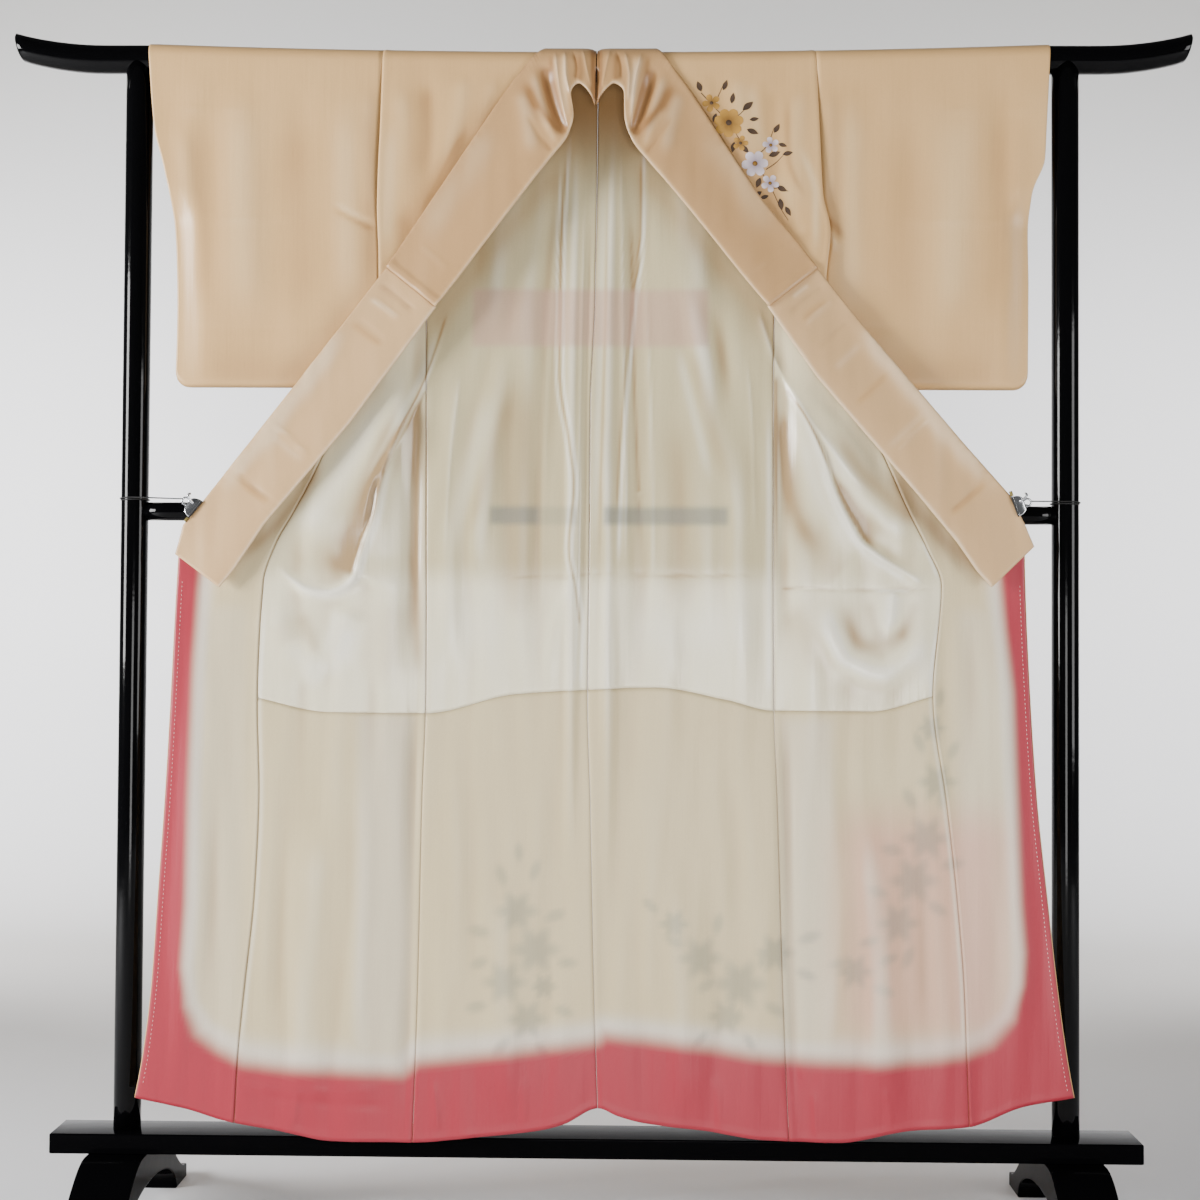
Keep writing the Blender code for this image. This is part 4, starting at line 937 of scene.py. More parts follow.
@dataclass(frozen=True)
class Lacquer:
    """Black lacquer over turned wood, rubbed to a gloss: near black, with clear long reflections.

    Attributes:
        name: the material's name.
        colour: sRGB.
        specular: strength of the gloss; low where the lacquer is worn dull.
    """

    name: str = "black_lacquer_rubbed"
    colour: str = "#050506"
    specular: float = 0.13

    def material(self) -> bpy.types.Material:
        """Builds the material: a glossy coat, with the faint waviness that hand rubbing leaves.

        Returns:
            The material.
        """
        material, tree, shader, place = start_material(self.name)
        # the waviness is about 45 mm across
        haze = add(tree, "ShaderNodeTexNoise", None, {"Vector": place, "Scale": 22.0, "Detail": 4.0}).outputs[0]
        rough = add(tree, "ShaderNodeMapRange", None, {"Value": haze, "To Min": 0.05, "To Max": 0.10}).outputs[0]
        wave = add(tree, "ShaderNodeBump", None, {"Strength": 1.0, "Distance": 0.25 * MM, "Height": haze})
        tree.links.new(rough, shader.inputs["Roughness"])
        tree.links.new(wave.outputs[0], shader.inputs["Normal"])
        shader.inputs["Base Color"].default_value = linear(self.colour)
        shader.inputs["Specular IOR Level"].default_value = self.specular
        return material


@dataclass(frozen=True)
class Metal:
    """Metal or dark enamel of a clip.

    Attributes:
        name: the material's name.
        colour: sRGB.
        roughness: mean roughness.
        metallic: 1 for bare metal.
    """

    name: str
    colour: str
    roughness: float
    metallic: float

    def material(self) -> bpy.types.Material:
        """Builds the material: plated metal with fine rolling marks.

        Returns:
            The material.
        """
        material, tree, shader, place = start_material(self.name)
        # the marks are about 17 mm long and 1 mm apart
        marks = add(tree, "ShaderNodeMapping", None, {"Vector": place, "Scale": (60.0, 60.0, 900.0)}).outputs[0]
        grain = add(tree, "ShaderNodeTexNoise", None, {"Vector": marks, "Scale": 1.0, "Detail": 2.0}).outputs[0]
        rough = add(tree, "ShaderNodeMapRange", None,
                    {"Value": grain, "To Min": self.roughness * 0.7, "To Max": self.roughness * 1.5})
        tree.links.new(rough.outputs[0], shader.inputs["Roughness"])
        shader.inputs["Base Color"].default_value = linear(self.colour)
        shader.inputs["Metallic"].default_value = self.metallic
        return material


@dataclass(frozen=True)
class Paint:
    """Dye or gold brushed on silk, deeper towards one end of each petal or leaf, or the dye of a thread.

    Attributes:
        name: the material's name.
        pale, deep: its two colours, sRGB.
        roughness: how far the gloss spreads.
    """

    name: str
    pale: str
    deep: str
    roughness: float = 0.6

    def material(self) -> bpy.types.Material:
        """Builds the material: the tone attribute runs from the pale to the deep colour.

        Returns:
            The material.
        """
        material, tree, shader, place = start_material(self.name)
        tone = add(tree, "ShaderNodeAttribute", {"attribute_name": "tone"}).outputs["Fac"]
        # brush marks about 4 mm wide let a third of the pale colour through
        brushed = add(tree, "ShaderNodeTexNoise", None, {"Vector": place, "Scale": 260.0, "Detail": 2.0}).outputs[0]
        share = add(tree, "ShaderNodeMath", {"operation": "MULTIPLY"}, {0: brushed, 1: 0.35}).outputs[0]
        colour = add(tree, "ShaderNodeMix", COLOURS, {0: tone, 6: linear(self.pale), 7: linear(self.deep)})
        colour = add(tree, "ShaderNodeMix", COLOURS, {0: share, 6: colour.outputs[2], 7: linear(self.pale)})
        tree.links.new(colour.outputs[2], shader.inputs["Base Color"])
        shader.inputs["Roughness"].default_value = self.roughness
        return material


# Silk crepe, dyed in the piece: the twisted weft's grain scatters the light, so the cloth is soft and even; warm
# painted shade darkens its troughs and painted highlight lightens its crests
OUTER_SILK = Silk(
    "silk_crepe_dyed_beige", "#DFB57C", "#D3A86E", 0.40, 0.08, 2.2, 0.05, 9.0, 0.45,
    (("painted_shade", "#98693A", 0.66), ("crest", "#F8DFB4", 0.42)),
)
# The same silk pressed flat over the collar's core: a little smoother and deeper, with long faint ripples, and the
# same painted shade in troughs and painted highlight on crests
COLLAR_FINISH = Silk(
    "silk_satin_crepe_collar", "#D6AC78", "#CBA06B", 0.36, 0.08, 2.0, 0.04, 14.0, 0.30,
    (("painted_shade", "#8A5C32", 0.74), ("crest", "#F8E4C2", 0.45)),
)
# White satin, its long floats laid close: a broad gloss along each fold, and thin enough that a pink strip shows
# through;
# painted on it are the rail's shadow as a grey band, the neck's shade as a brown darkening towards the top, the
# seams' shadow, shade in its hollows and highlight on its crests
UPPER_LINING = Silk(
    "silk_satin_white_lining", "#F7EED0", "#EEE4C2", 0.27, 0.03, 2.4, 0.02, 6.0, 0.30,
    (("warm", "#CDBF94", 0.92), ("painted_shade", "#9C7648", 0.80), ("crest", "#FFFBEC", 0.62), ("band", "#C9A08E", 0.60),
     ("rail", "#6F7674", 0.62), ("glow", "#9C7040", 0.85), ("seam", "#6E5030", 0.75)), 0.48,
)
# Cream crepe, its edge dyed rose with a blurred border: matt, with the outer cloth's sprays grey behind it, painted
# shade in its hollows and seams and painted highlight on its crests
LOWER_LINING = Silk(
    "silk_crepe_cream_rose_lining", "#DCCBA0", "#D2BF92", 0.44, 0.10, 2.2, 0.03, 8.0, 0.35,
    (("pale", "#E4DEDA", 0.27), ("blush", "#D98F85", 0.50), ("veil", "#757A70", 0.46), ("painted_shade", "#94714A", 0.66),
     ("crest", "#F3ECD8", 0.50), ("rose", "#A52838", 1.0), ("seam", "#553826", 0.30)),
)
# Nickel-plated spring steel, rolled, and its enamelled jaws and brass stub: small hard glints at the clips
STEEL = Metal("steel_plated_bright", "#C9CBCE", 0.18, 1.0)
JAW = Metal("steel_enamelled_dark", "#1A1918", 0.40, 0.3)
BRASS = Metal("brass_aged", "#7A6E45", 0.38, 1.0)
# Spun silk thread, pale on the rose band, and the black twisted cord of the ties: matt
STITCH = Paint("silk_thread_pale", "#E8BFBA", "#D9AFAA", 0.6)
CORD = Paint("silk_cord_black", "#0A0909", "#060505", 0.7)
# Pigment brushed on the crepe, deeper towards each petal's heart, and pressed gold leaf
WHITE_PIGMENT = Paint("pigment_white_lavender", "#D9CCD0", "#76606E")
GOLD_LEAF = Paint("gold_leaf_pressed", "#8A6420", "#4E3210", 0.4)
GREEN_PIGMENT = Paint("pigment_grey_green", "#8A8B6C", "#4D523F")
UMBER_PIGMENT = Paint("pigment_umber", "#4E3824", "#2E2016")
OCHRE_PIGMENT = Paint("pigment_ochre", "#B98A38", "#5E3C14")
ROSE_PIGMENT = Paint("pigment_rose", "#D98C8C", "#A8484E")


def carried(path: Array, radius: Array, sides: int) -> Array:
    """Round section carried along a path.

    The section stays square to the path: its first axis is the path's direction crossed with a fixed up line,
    its second completes the frame.

    Args:
        path: (stations, 3).
        radius: radius at each station.
        sides: points round the section.

    Returns:
        (stations, sides, 3).
    """
    run = np.gradient(path, axis=0)
    run /= np.linalg.norm(run, axis=1, keepdims=True)
    guide = np.where(np.abs(run[:, 2:3]) > 0.9, np.array([[1.0, 0.0, 0.0]]), np.array([[0.0, 0.0, 1.0]]))
    one = np.cross(run, guide)
    one /= np.linalg.norm(one, axis=1, keepdims=True)
    two = np.cross(one, run)
    turn = circle(sides)
    radius = np.broadcast_to(radius, len(path))[:, None, None]
    ring = np.cos(turn)[None, :, None] * one[:, None] + np.sin(turn)[None, :, None] * two[:, None]
    return path[:, None] + radius * ring


@dataclass
class Stand:
    """Black lacquered stand: top bar, two posts, middle rail, base board and two arched feet, sizes in metres."""

    bar_half: float = 0.855
    bar_level: float = 0.725  # where the bar's ends begin to sweep up
    bar_rise: float = 0.0175
    end_slant: float = 0.010
    rail_radius: float = 0.0135
    board_half: float = 0.778
    board_depth: float = 0.075
    board_top: float = 0.130
    board_thickness: float = 0.0286
    foot_x: float = 0.681
    foot_width: float = 0.084
    foot_reach: float = 0.200
    crown_half: float = 0.050
    toe: float = 0.062  # length of a foot's sole on each side of its arch
    toe_height: float = 0.020
    arch_height: float = 0.056
    edge: float = 0.0022  # radius of the eased edges

    def bar(self) -> Array:
        """Top bar: a circle carried along the sagging, swept-up axis, its ends cut on a slant and eased.

        Returns:
            (stations, 48, 3).
        """
        x = np.concatenate([[-self.bar_half], np.linspace(-self.bar_half, self.bar_half, 121), [self.bar_half]])
        swept = np.clip((np.abs(x) - self.bar_level) / (self.bar_half - self.bar_level), 0.0, 1.0)
        z = BAR_CENTRE - bar_drop(x) + self.bar_rise * swept**2
        radius = np.full(len(x), BAR_RADIUS)
        radius[[0, -1]] -= self.edge
        turn = circle(48)
        up = radius[:, None] * np.cos(turn)
        slant = np.sign(x)[:, None] * self.end_slant * up / (2 * BAR_RADIUS) * smooth(swept)[:, None]
        inset = np.zeros(len(x))
        inset[[1, -2]] = self.edge
        x = x - np.sign(x) * inset
        return np.stack([x[:, None] + slant, radius[:, None] * np.sin(turn), z[:, None] + up], axis=-1)

    def post(self, side: Side) -> Array:
        """Post: an upright cylinder whose top is hollowed to the bar, by the bar's circle at each y.

        Args:
            side: which post.

        Returns:
            (41, 48, 3).
        """
        turn = circle(48)
        x, y = side.value * POST_X + POST_RADIUS * np.sin(turn), POST_RADIUS * np.cos(turn)
        top = BAR_CENTRE - np.sqrt(np.clip(BAR_RADIUS**2 - y**2, 0.0, None)) - FIT_GAP
        share = np.linspace(0.0, 1.0, 41)[:, None]
        base = self.board_top + FIT_GAP
        z = base + (top - base) * share
        return np.stack([np.broadcast_to(x, z.shape), np.broadcast_to(y, z.shape), z], axis=-1)

    def rail(self) -> Array:
        """Middle rail: a level cylinder whose ends are hollowed to the posts, by the post's circle at each y.

        Returns:
            (41, 32, 3).
        """
        turn = circle(32)
        y, z = self.rail_radius * np.sin(turn), RAIL_HEIGHT + self.rail_radius * np.cos(turn)
        end = POST_X - np.sqrt(POST_RADIUS**2 - y**2) - FIT_GAP
        share = np.linspace(-1.0, 1.0, 41)[:, None]
        x = end * share
        return np.stack([x, np.broadcast_to(y, x.shape), np.broadcast_to(z, x.shape)], axis=-1)

    def eased_slab(self, outline: Array, half: float) -> Array:
        """Closed outline carried across a width, drawn in at both ends by the eased edge.

        Args:
            outline: (points, 2), counter-clockwise.
            half: half the width.

        Returns:
            (stations, points, 3): place across, then the outline's two axes.
        """
        ahead, behind = np.roll(outline, -1, axis=0) - outline, outline - np.roll(outline, 1, axis=0)
        unit = [v / np.linalg.norm(v, axis=1, keepdims=True) for v in (ahead, behind)]
        normal = np.stack([unit[0][:, 1] + unit[1][:, 1], -unit[0][:, 0] - unit[1][:, 0]], axis=-1)
        normal /= np.maximum(np.linalg.norm(normal, axis=1, keepdims=True), 1.0)
        turn = np.linspace(0.0, math.pi / 2, 5)
        draw = self.edge * (1.0 - np.sin(turn))
        place = half - self.edge + self.edge * np.cos(turn)
        between = np.linspace(-half + self.edge, half - self.edge, 9)[1:-1]
        across = np.concatenate([-place, between, place[::-1]])
        inward = np.concatenate([draw, np.zeros(len(between)), draw[::-1]])
        flat = outline[None] - normal[None] * inward[:, None, None]
        wide = np.broadcast_to(across[:, None, None], flat.shape[:2] + (1,))
        return np.concatenate([wide, flat], axis=-1)

    def board(self) -> Array:
        """Base board: a rectangle with eased corners, carried along the board's length.

        Returns:
            (stations, points, 3).
        """
        half_y, half_z, ease = self.board_depth / 2, self.board_thickness / 2, self.edge
        turn = np.linspace(0.0, math.pi / 2, 5)
        corners = [(1, 1, 0), (-1, 1, 1), (-1, -1, 2), (1, -1, 3)]
        outline = np.concatenate([
            np.stack([sy * (half_y - ease) + ease * np.cos(turn + q * math.pi / 2),
                      sz * (half_z - ease) + ease * np.sin(turn + q * math.pi / 2)], axis=-1)
            for sy, sz, q in corners
        ])
        slab = self.eased_slab(outline, self.board_half)
        return slab + np.array([0.0, 0.0, self.board_top - half_z])

    def foot(self, side: Side) -> Array:
        """Foot: the side outline, crown, two swept legs and a round arch between, carried across its width.

        Args:
            side: which foot.

        Returns:
            (stations, points, 3).
        """
        crown = self.board_top - self.board_thickness - FIT_GAP
        t = np.linspace(0.0, 1.0, 25)
        y = self.crown_half + (self.foot_reach - self.crown_half) * t
        top = np.stack([y, crown - (crown - self.toe_height) * smooth(t)], axis=-1)
        turn = np.linspace(0.0, math.pi, 41)
        arch = np.stack([(self.foot_reach - self.toe) * np.cos(turn), self.arch_height * np.sin(turn)], axis=-1)
        right = np.concatenate([top, [[self.foot_reach, 0.0]]])
        left = right[::-1] * (-1.0, 1.0)
        outline = np.concatenate([left, right, arch])[::-1]
        return self.eased_slab(outline, self.foot_width / 2) + np.array([side.value * self.foot_x, 0.0, 0.0])

    def build(self) -> None:
        """Builds and dresses every piece of the stand."""
        rubbed, worn = Lacquer().material(), Lacquer("black_lacquer_worn", specular=0.015).material()
        plan = [("top_bar", self.bar(), rubbed), ("mid_rail", self.rail(), rubbed),
                ("base_board", self.board(), worn)]
        for side in Side:
            plan += [(f"post_{side.word}", self.post(side), rubbed), (f"foot_{side.word}", self.foot(side), worn)]
        for node, points, finish in plan:
            dress(mesh_object(f"{node}_lacquered", points, ring=True, caps=True), finish, [node])


def spread(columns: int) -> Array:
    """Shares across a panel, closer together at its seams: s less 0.4 of a sine of two pi s, over two pi."""
    share = np.linspace(0.0, 1.0, columns + 1)
    return share - 0.4 * np.sin(2 * math.pi * share) / (2 * math.pi)


def panel_grid(edge_a: Line, edge_b: Line, stops: Sequence[Line], counts: Sequence[int],
               columns: int) -> tuple[Array, Array]:
    """Grid of x and height for a hanging panel between two seams.

    Each crosswise line is found by reading the seams at its own height four times over; the rows between two
    lines are spaced evenly.

    Args:
        edge_a, edge_b: x of each seam, by height.
        stops: height of each crosswise line, by x, from the top.
        counts: rows between one line and the next.
        columns: columns between the seams.

    Returns:
        x and z, each (rows, columns + 1).
    """
    share = spread(columns)
    lines = []
    for stop in stops:
        height = np.full(columns + 1, 0.5)
        for _ in range(4):
            height = stop(edge_a(height) + (edge_b(height) - edge_a(height)) * share)
        lines.append(height)
    rows = [lines[0][None]]
    for upper, lower, count in zip(lines, lines[1:], counts):
        rows.append(upper + (lower - upper) * (np.arange(1, count + 1) / count)[:, None])
    z = np.concatenate(rows)
    return edge_a(z) + (edge_b(z) - edge_a(z)) * share, z


def body_depth(x: Array, z: Array) -> Array:
    """Depth y of the outer cloth: the back's slope, eased to the front's beyond the side seams, less the folds.

    Args:
        x, z: places on the cloth, metres.

    Returns:
        y at each place; it stays in front of the rail.
    """
    back, front = look_up(BODY_DEPTHS, 1, z), look_up(BODY_DEPTHS, 2, z)
    outside = np.where(x < 0, look_up(BODY_SEAMS, 2, z) - x, x - look_up(BODY_SEAMS, 3, z))
    below_arm = smooth((OKUMI_TOP + TURN_EASE - z) / TURN_EASE)
    slope = back + (front - back) * smooth(outside / FRONT_TURN) * below_arm
    folds = crease_height(x, z, MAIN_FOLDS) + crease_height(x, z, FRONT_CREASES) + ripple(x, z, *BODY_RIPPLE)
    folds = folds + BACK_RELIEF * crease_height(x, z, BACK_CREASES)
    depth = slope - folds
    rail = (np.abs(z - RAIL_HEIGHT) < RAIL_HALF) & (outside < 0.0)
    return np.where(rail, np.minimum(depth, RAIL_CLEAR), depth)


@dataclass(frozen=True)
class Spray:
    """Flowers, leaves and stems of one painted spray, all in mm on the cloth.

    Attributes:
        blooms: x, height, reach of a petal, number of petals, turn in degrees.
        leaves: x, height, length, width, turn in degrees.
        stems: points of each stem.
    """

    blooms: tuple[tuple[float, float, float, int, float], ...]
    leaves: tuple[tuple[float, float, float, float, float], ...]
    stems: tuple[tuple[tuple[float, float], ...], ...]


SHOULDER_HIGH = Spray(
    ((186, 1588, 21, 7, 12), (161, 1617, 13, 5, 40), (203, 1558, 11, 5, 70)),
    ((206, 1606, 20, 9, 40), (170, 1566, 18, 8, 230), (212, 1578, 18, 8, -20), (146, 1634, 16, 8, 110),
     (178, 1636, 16, 7, 70), (152, 1598, 15, 7, 200), (190, 1616, 16, 7, 80), (216, 1592, 14, 6, 10),
     (168, 1602, 14, 6, 250), (194, 1560, 16, 7, 260)),
    (((146, 1632), (164, 1612), (186, 1588), (204, 1560), (222, 1536)), ((164, 1612), (172, 1630), (178, 1644)),
     ((190, 1590), (206, 1604), (218, 1618))),
)
SHOULDER_LOW = Spray(
    ((224, 1528, 19, 6, 5), (247, 1556, 12, 5, 30), (246, 1500, 13, 5, 60)),
    ((244, 1540, 18, 8, 20), (206, 1520, 17, 8, 200), (232, 1508, 16, 8, 250), (256, 1496, 16, 8, -30),
     (260, 1478, 18, 8, 280), (234, 1488, 15, 7, 215), (252, 1574, 15, 7, 60), (264, 1542, 15, 7, 10),
     (268, 1466, 16, 7, 300), (214, 1544, 15, 7, 130), (258, 1558, 13, 6, -20), (244, 1482, 14, 6, 200)),
    (((222, 1536), (236, 1512), (250, 1488), (262, 1462), (272, 1446)), ((228, 1540), (242, 1556), (252, 1582)),
     ((240, 1520), (254, 1530), (266, 1542)), ((250, 1492), (262, 1494), (272, 1488))),
)
HEM_LEFT = Spray(
    ((-112, 452, 26, 6, 10), (-84, 398, 30, 7, 30), (-128, 352, 27, 6, 50), (-96, 300, 24, 6, 15),
     (-72, 346, 16, 5, 0)),
    ((-128, 486, 30, 11, 110), (-92, 494, 28, 10, 70), (-74, 440, 30, 11, 20), (-146, 420, 32, 12, 170),
     (-150, 384, 26, 10, 200), (-56, 380, 28, 10, 0), (-150, 320, 30, 11, 190), (-60, 318, 28, 10, -20),
     (-120, 276, 30, 11, 230), (-82, 268, 28, 10, 300), (-108, 520, 26, 9, 95)),
    (((-108, 524), (-110, 470), (-96, 410), (-112, 350), (-98, 290)), ((-96, 420), (-70, 430)),
     ((-110, 360), (-146, 340))),
)
HEM_RIGHT = Spray(
    ((150, 388, 27, 6, 20), (206, 352, 32, 7, 5), (256, 396, 24, 6, 40), (186, 306, 22, 5, 15),
     (368, 372, 22, 6, 10), (112, 436, 18, 5, 0)),
    ((128, 404, 30, 11, 150), (172, 420, 28, 10, 80), (176, 360, 30, 11, 210), (232, 374, 28, 11, 60),
     (240, 326, 30, 11, -30), (206, 318, 26, 10, 250), (286, 412, 32, 11, 20), (284, 372, 28, 10, -20),
     (330, 380, 32, 11, 10), (392, 352, 30, 10, -20), (400, 384, 28, 10, 20), (90, 452, 26, 9, 140),
     (160, 286, 26, 9, 230), (212, 284, 26, 9, 300)),
    (((88, 456), (130, 410), (180, 366), (220, 340), (290, 380), (360, 372), (420, 356)), ((196, 350), (188, 290))),
)
HEM_FAR = Spray(
    ((470, 560, 28, 6, 0), (452, 500, 30, 7, 25), (486, 640, 24, 6, 10), (430, 440, 26, 6, 40),
     (478, 716, 18, 5, 15)),
    ((490, 600, 34, 12, 80), (456, 600, 30, 11, 120), (440, 540, 32, 12, 170), (488, 520, 32, 12, 10),
     (470, 470, 30, 11, -30), (418, 478, 30, 11, 160), (450, 410, 32, 11, 250), (500, 670, 28, 10, 60),
     (466, 680, 28, 10, 110), (488, 744, 26, 9, 80), (404, 420, 28, 10, 200)),
    (((482, 760), (484, 680), (472, 580), (452, 500), (428, 430), (400, 392)),),
)
HEM_SPRAYS = (HEM_LEFT, HEM_RIGHT, HEM_FAR)


def veil(x: Array, z: Array) -> Array:
    """Outer cloth's sprays as they show through the lining, the strongest at each place.

    A bloom is a disc of 1.25 times its reach, its radius waved by six lobes, and a leaf an ellipse of 1.2 times its
    length and 1.7 times its width; both fade over a blurred edge.

    Args:
        x, z: places on the cloth, metres.

    Returns:
        Strength, 0 to 1.
    """
    total = np.zeros(x.shape)
    for spray in HEM_SPRAYS:
        for cx, cz, reach, _, _ in spray.blooms:
            apart = np.hypot(x - cx * MM, z - cz * MM) / (1.25 * reach * MM)
            lobes = 0.80 + 0.16 * np.cos(6.0 * np.arctan2(z - cz * MM, x - cx * MM))
            total = np.maximum(total, 1.0 - smooth((apart / lobes - 0.45) / 0.85))
        for cx, cz, length, width, turn in spray.leaves:
            c, s = math.cos(math.radians(turn)), math.sin(math.radians(turn))
            dx, dz = (x - cx * MM) / MM, (z - cz * MM) / MM
            u, v = (dx * c + dz * s) / (1.2 * length) - 0.5, (dz * c - dx * s) / (1.7 * width)
            total = np.maximum(total, 0.8 * (1.0 - smooth((np.hypot(2 * u, 2 * v) - 0.3) / 1.0)))
    return total


def petals(spray: Spray) -> Array:
    """Petals of a spray's blooms, each a small grid of length and width.

    A petal's half width is its reach times 0.40 times the square root of a sine of its length, wider towards its
    tip, so that it is narrow at the heart and round at its tip.

    Args:
        spray: the spray.

    Returns:
        (petals, 9, 7, 3): x, height over the cloth and z, metres.
    """
    rows = [(x, z, reach, turn + 360.0 * k / count)
            for x, z, reach, count, turn in spray.blooms for k in range(count)]
    x, z, reach, turn = (np.array(rows)[:, i, None, None] for i in range(4))
    u, v = np.meshgrid(np.linspace(0.10, 1.0, 9), np.linspace(-1.0, 1.0, 7), indexing="ij")
    half = 0.40 * reach * np.sqrt(np.clip(np.sin(math.pi * u**1.25 * 0.96), 0.0, 1.0)) * (0.55 + 0.45 * u)
    return laid(x, z, u * reach, v * half, np.radians(turn), 0.35 + 0.25 * (1 - v * v) * u)


def foliage(spray: Spray) -> Array:
    """Leaves of a spray: half width is the leaf's own times a sine of its length, pointed at both ends.

    Args:
        spray: the spray.

    Returns:
        (leaves, 9, 5, 3): x, height over the cloth and z, metres.
    """
    x, z, length, width, turn = (np.array(spray.leaves, dtype=float)[:, i, None, None] for i in range(5))
    u, v = np.meshgrid(np.linspace(0.0, 1.0, 9), np.linspace(-1.0, 1.0, 5), indexing="ij")
    half = 0.5 * width * np.sin(math.pi * u**0.9)
    return laid(x, z, u * length, v * half, np.radians(turn), 0.30 + 0.10 * np.abs(v))


def laid(x: Array, z: Array, out: Array, across: Array, turn: Array, raised: Array) -> Array:
    """Turns flat shapes about their foot and moves them to their place.

    Args:
        x, z: place of each shape's foot, mm.
        out, across: its points along and across its length, mm.
        turn: its turn, radians.
        raised: height over the cloth, mm.

    Returns:
        x, height over the cloth and z, (..., 3), metres.
    """
    px = (x + out * np.cos(turn) - across * np.sin(turn)) * MM
    pz = (z + out * np.sin(turn) + across * np.cos(turn)) * MM
    return np.stack([px, np.broadcast_to(raised * MM, px.shape), pz], axis=-1)


def stalks(spray: Spray) -> Array:
    """Stems of a spray: narrow ribbons along smooth curves, thinning to their end.

    Args:
        spray: the spray.

    Returns:
        (stems, 30, 3, 3): x, height over the cloth and z, metres.
    """
    made = []
    for stem in spray.stems:
        line = along(stem, (0, 1), np.linspace(0.0, len(stem) - 1.0, 30))
        run = np.gradient(line, axis=0)
        run /= np.linalg.norm(run, axis=1, keepdims=True)
        side = np.stack([-run[:, 1], run[:, 0]], axis=-1)[:, None] * np.linspace(-0.7, 0.7, 3)[None, :, None] * MM
        flat = line[:, None] + side * np.linspace(1.0, 0.5, 30)[:, None, None]
        made.append(np.stack([flat[..., 0], np.full(flat.shape[:2], 0.3 * MM), flat[..., 1]], axis=-1))
    return np.array(made)


def hearts(spray: Spray) -> Array:
    """Heart of each bloom: a low dome of a fifth of its reach, on rings of radius and turn.

    Args:
        spray: the spray.

    Returns:
        (blooms, 4, 12, 3): x, height over the cloth and z, metres.
    """
    x, z, reach = (np.array(spray.blooms, dtype=float)[:, i, None, None] for i in range(3))
    radius, turn = np.meshgrid(np.linspace(0.02, 1.0, 4), circle(12), indexing="ij")
    out = 0.20 * reach * radius
    return laid(x, z, out * np.cos(turn), out * np.sin(turn), np.zeros(1), 1.1 - 0.5 * radius**2)


@dataclass(frozen=True)
class Painting:
    """Pigments of one painted spray's parts."""

    bloom: Paint
    heart: Paint
    leaf: Paint
    stem: Paint

    def build(self, name: str, spray: Spray, depth: Depth, outward: float) -> None:
        """Lays the spray's petals, hearts, leaves and stems on the cloth as thin films.

        Args:
            name: name of the spray.
            spray: its shapes.
            depth: y of the cloth by x and height.
            outward: -1 towards the viewer, 1 away.
        """
        length = np.linspace(1.0, 0.0, 9)[:, None]
        for word, points, paint, tone, ring in (
            ("petals", petals(spray), self.bloom, length, False),
            ("hearts", hearts(spray), self.heart, np.linspace(0.0, 1.0, 4)[:, None], True),
            ("leaves", foliage(spray), self.leaf, length, False),
            ("stems", stalks(spray), self.stem, np.zeros((1, 1)), False),
        ):
            points[..., 1] = depth(points[..., 0], points[..., 2]) + outward * points[..., 1]
            piece = mesh_object(f"{name}_{word}", points, ring=ring, facing=(0.0, outward, 0.0),
                                tints={"tone": tone})
            dress(piece, paint.material())


def stitches(path: Array, pitch: float, length: float, radius: float) -> Array:
    """Running stitches: spindles along a path, as thick as the square root of a sine of their length.

    Args:
        path: (points, 3), the line of the sewing.
        pitch: distance from one stitch to the next.
        length: length of a stitch.
        radius: half its greatest thickness.

    Returns:
        (stitches, 5, 6, 3).
    """
    reach = length_along(path)
    places = np.arange(pitch, reach[-1] - pitch, pitch)
    centre, ahead = (np.stack([np.interp(at, reach, path[:, i]) for i in range(3)], axis=-1)
                     for at in (places, places + length))
    run = (ahead - centre) / np.linalg.norm(ahead - centre, axis=1, keepdims=True)
    side = np.cross(run, FORWARD)
    front = np.cross(side, run)[:, None, None]
    share, turn = np.linspace(0.0, 1.0, 5), circle(6)
    thick = radius * np.sqrt(np.sin(math.pi * (0.06 + 0.88 * share)))[None, :, None, None]
    cos, sin = np.cos(turn)[None, None, :, None], np.sin(turn)[None, None, :, None]
    around = cos * side[:, None, None] + sin * front
    return centre[:, None, None] + (share - 0.5)[None, :, None, None] * length * run[:, None, None] + thick * around


def soft_box(x: Array, z: Array, box: Sequence[float]) -> Array:
    """Rectangle with blurred edges: its strength times four eased steps.

    Args:
        x, z: places on the cloth, metres.
        box: strength, x from and to, height from and to, and width of the blurred edge, mm.

    Returns:
        Its strength at each place.
    """
    x0, x1, z0, z1, blur = (v * MM for v in box[1:])
    sides = smooth((x - x0) / blur) * smooth((x1 - x) / blur)
    return box[0] * sides * smooth((z - z0) / blur) * smooth((z1 - z) / blur)


def set_back(points: Array) -> Array:
    """Coarser copy of a panel: every other point, as far back as the rearmost of the nine points round it.

    Args:
        points: the panel's grid.

    Returns:
        The coarser grid, a little behind, so that it stays clear of the lining.
    """
    padded = np.pad(points[..., 1], 1, mode="edge")
    rows, columns = points.shape[:2]
    rear = np.max([padded[i : i + rows, j : j + columns] for i in range(3) for j in range(3)], axis=0)
    keep_rows = np.unique(np.append(np.arange(0, rows, 2), rows - 1))
    keep_columns = np.unique(np.append(np.arange(0, columns, 2), columns - 1))
    coarse = points[keep_rows][:, keep_columns].copy()
    coarse[..., 1] = rear[keep_rows][:, keep_columns] + SHELL_GAP
    return coarse


